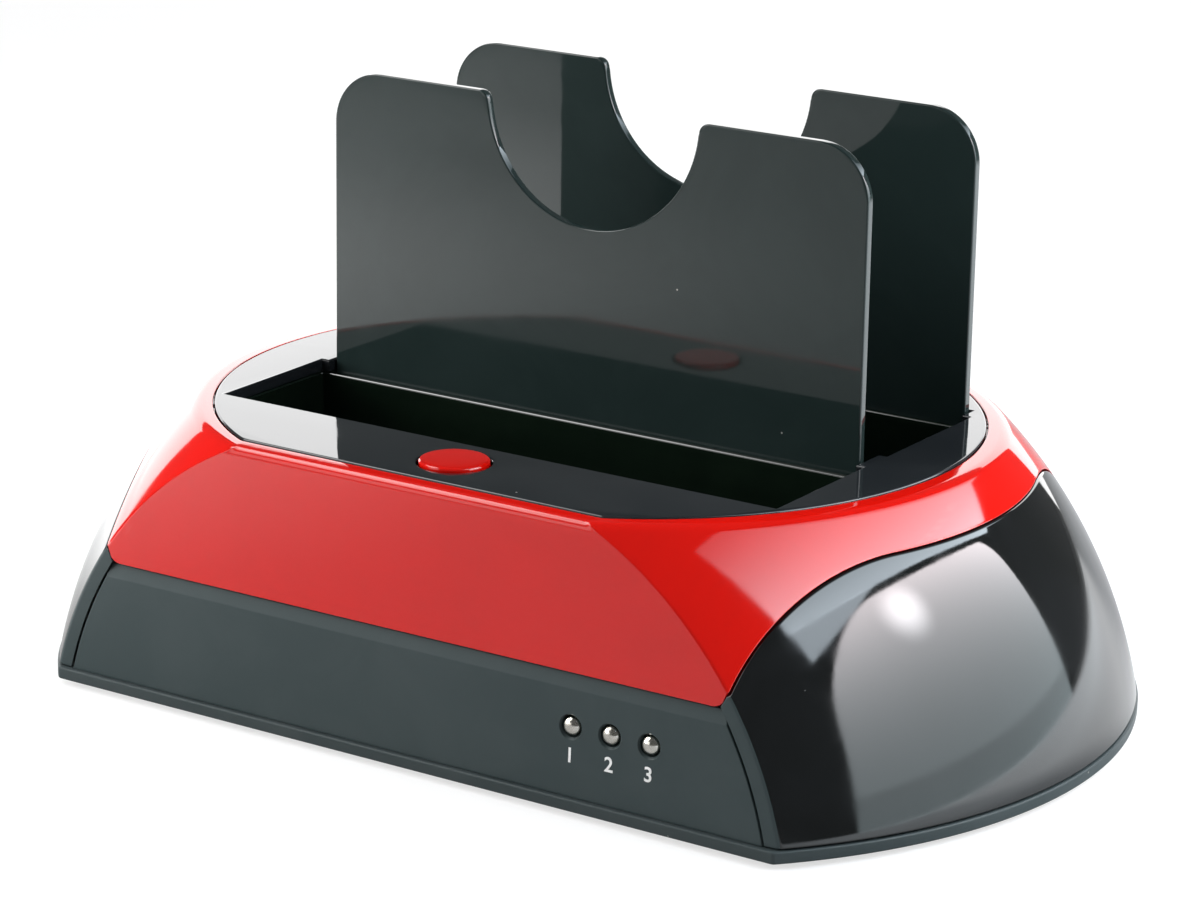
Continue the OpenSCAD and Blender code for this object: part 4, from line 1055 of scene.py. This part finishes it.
panelFade = {"corner": 10, "step": 0.015}  # soft widths, in mm and as a share of the panel
coolTint = (0.88, 1.0, 1.1)
tent = {  # place, facing and size in mm, radiance, softness of the edges as a share of the size
    "rightWall": {"place": (425, 243, 165), "aim": (-1, 0, 0), "size": (694, 370), "glow": 12.0,
                  "soft": (0.02, 0.03), "foot": 0.2, "bend": 2.4, "corners": ((-1, 205), (1, 80)),
                  "step": (0.186, 0.74), "spot": (226, 308), "spotReach": 80, "spotGain": 0.9,
                  "tints": ((0.82, 1.0, 1.05), (1.06, 0.97, 1.0))},
    "ceiling": {"place": (295, 256, 352), "aim": (0, 0, -1), "size": (248, 768), "glow": 8.0,
                "soft": (0.028, 0.012), "foot": 0.12, "bend": 1.2, "along": "X",
                "tints": (coolTint, coolTint)},
    "ceilingTip": {"place": (475.5, -10, 353), "aim": (0, 0, -1), "size": (127, 236), "glow": 5.6,
                   "soft": (0.055, 0.06), "slant": 0.08, "tints": (coolTint, coolTint)},
    "backdrop": {"place": (-950, 828, 270), "aim": (0.2, -1, 0), "size": (1926, 540), "glow": 3.0},
    "leftBox": {"place": (-390, -80, 500), "aim": (0.6, 0.1, -0.77), "size": (360, 360), "glow": 5.0,
                "soft": (0.25, 0.25)},
    "frontBox": {"place": (-341, -287, 450), "aim": (0.57, 0.48, -0.67), "size": (380, 300), "glow": 4.2,
                 "soft": (0.3, 0.3)},
    "frontCard": {"place": (-360, -560, 165), "aim": (0.54, 0.84, 0), "size": (640, 330), "glow": 1.5,
                  "soft": (0.3, 0.25)},
    "frontFill": {"place": (-430, -265, 172), "aim": (0.84, 0.47, -0.22), "size": (330, 300), "glow": 14.0,
                  "soft": (0.2, 0.2), "shy": True},
    "leftTable": {"place": (-960, 285, 0.5), "aim": (0, 0, 1), "size": (1800, 1230), "glow": 2.3,
                  "soft": (0.12, 0.14)},
    "backTable": {"place": (260, 345, 0.5), "aim": (0, 0, 1), "size": (400, 680), "glow": 0.8,
                  "soft": (0.08, 0.06)},
    "rightTable": {"place": (300, 165, 0.4), "aim": (0, 0, 1), "size": (440, 650), "glow": 0.8,
                   "soft": (0.15, 0.15), "tints": ((0.9, 1.0, 1.06), (0.9, 1.0, 1.06))},
}


def shadePanel(data, panel):  # soft edges, a rise from foot to head and a bright spot, as in a softbox
    data.use_nodes = True
    tree = data.node_tree
    place = addNode(tree, "NewGeometry").outputs["Parametric"]
    across = addNode(tree, "SeparateXYZ", {"Vector": place}).outputs
    width, height = panel["size"]
    spread = addNode(tree, "VectorMath", {0: place, 1: (width, height, 0)}, operation="MULTIPLY").outputs[0]
    rise = calculate(tree, "POWER", across[panel.get("along", "Y")], panel.get("bend", 1))
    level = ramp(tree, rise, 0, 1, panel.get("foot", 1))
    if "spot" in panel:
        away = addNode(tree, "VectorMath", {0: spread, 1: (*panel["spot"], 0)}, operation="DISTANCE")
        spot = ramp(tree, away.outputs["Value"], panel["spotReach"], 0, 0, panel["spotGain"], "SMOOTHERSTEP")
        level = calculate(tree, "ADD", level, spot)
    fades = []
    for way, radius in panel.get("corners", ()):  # rounds off an upper corner, near or far
        inward = (radius - max(way, 0) * width, radius - height, 0)
        turned = addNode(tree, "VectorMath", {0: spread, 1: (way, 1, 0), 2: inward},
                         operation="MULTIPLY_ADD")
        outer = addNode(tree, "VectorMath", {0: turned.outputs[0]}, operation="MAXIMUM")
        reach = addNode(tree, "VectorMath", {0: outer.outputs[0]}, operation="LENGTH")
        fades.append(ramp(tree, reach.outputs["Value"], radius, radius - panelFade["corner"],
                          curve="SMOOTHSTEP"))
    if "slant" in panel:  # leaves one half, cut across from corner to corner
        fades.append(ramp(tree, calculate(tree, "ADD", across["X"], across["Y"]), 1, 1 - panel["slant"]))
    if "step" in panel:  # a dimmer strip along the foot
        edge, share = panel["step"]
        fades.append(ramp(tree, across["Y"], edge - panelFade["step"], edge + panelFade["step"], share,
                          curve="SMOOTHSTEP"))
    for axis, soft in zip("XY", panel["soft"]):
        fades.append(ramp(tree, across[axis], 0, soft, curve="SMOOTHSTEP"))
        fades.append(ramp(tree, across[axis], 1, 1 - soft, curve="SMOOTHSTEP"))
    for fade in fades:
        level = calculate(tree, "MULTIPLY", level, fade)
    glow = tree.nodes["Emission"]
    tree.links.new(level, glow.inputs["Strength"])
    if "tints" in panel:
        tree.links.new(blendColour(tree, across["Y"], *panel["tints"]), glow.inputs["Color"])


def makeTent():
    for name, panel in tent.items():
        data = bpy.data.lights.new(name, "AREA")
        width, height = (length * mm for length in panel["size"])
        data.shape = "RECTANGLE"
        data.size = width
        data.size_y = height
        data.energy = panel["glow"] * math.pi * width * height
        if "soft" in panel:
            shadePanel(data, panel)
        lamp = addObject(name, data)
        lamp.rotation_euler = Vector(panel["aim"]).to_track_quat("-Z", "Y").to_euler()
        lamp.location = Vector(panel["place"]) * mm
        lamp.visible_camera = False
        lamp.visible_glossy = not panel.get("shy")  # a fill that leaves no glint
    world = bpy.data.worlds.new("studio")
    world.use_nodes = True
    back = world.node_tree.nodes["Background"]
    back.inputs["Color"].default_value = (1, 1, 1, 1)
    back.inputs["Strength"].default_value = stageForm["world"]
    bpy.context.scene.world = world
    bpy.context.scene.view_settings.view_transform = "Standard"


makeFloor()
makeTent()
print("camera, floor and lights made")
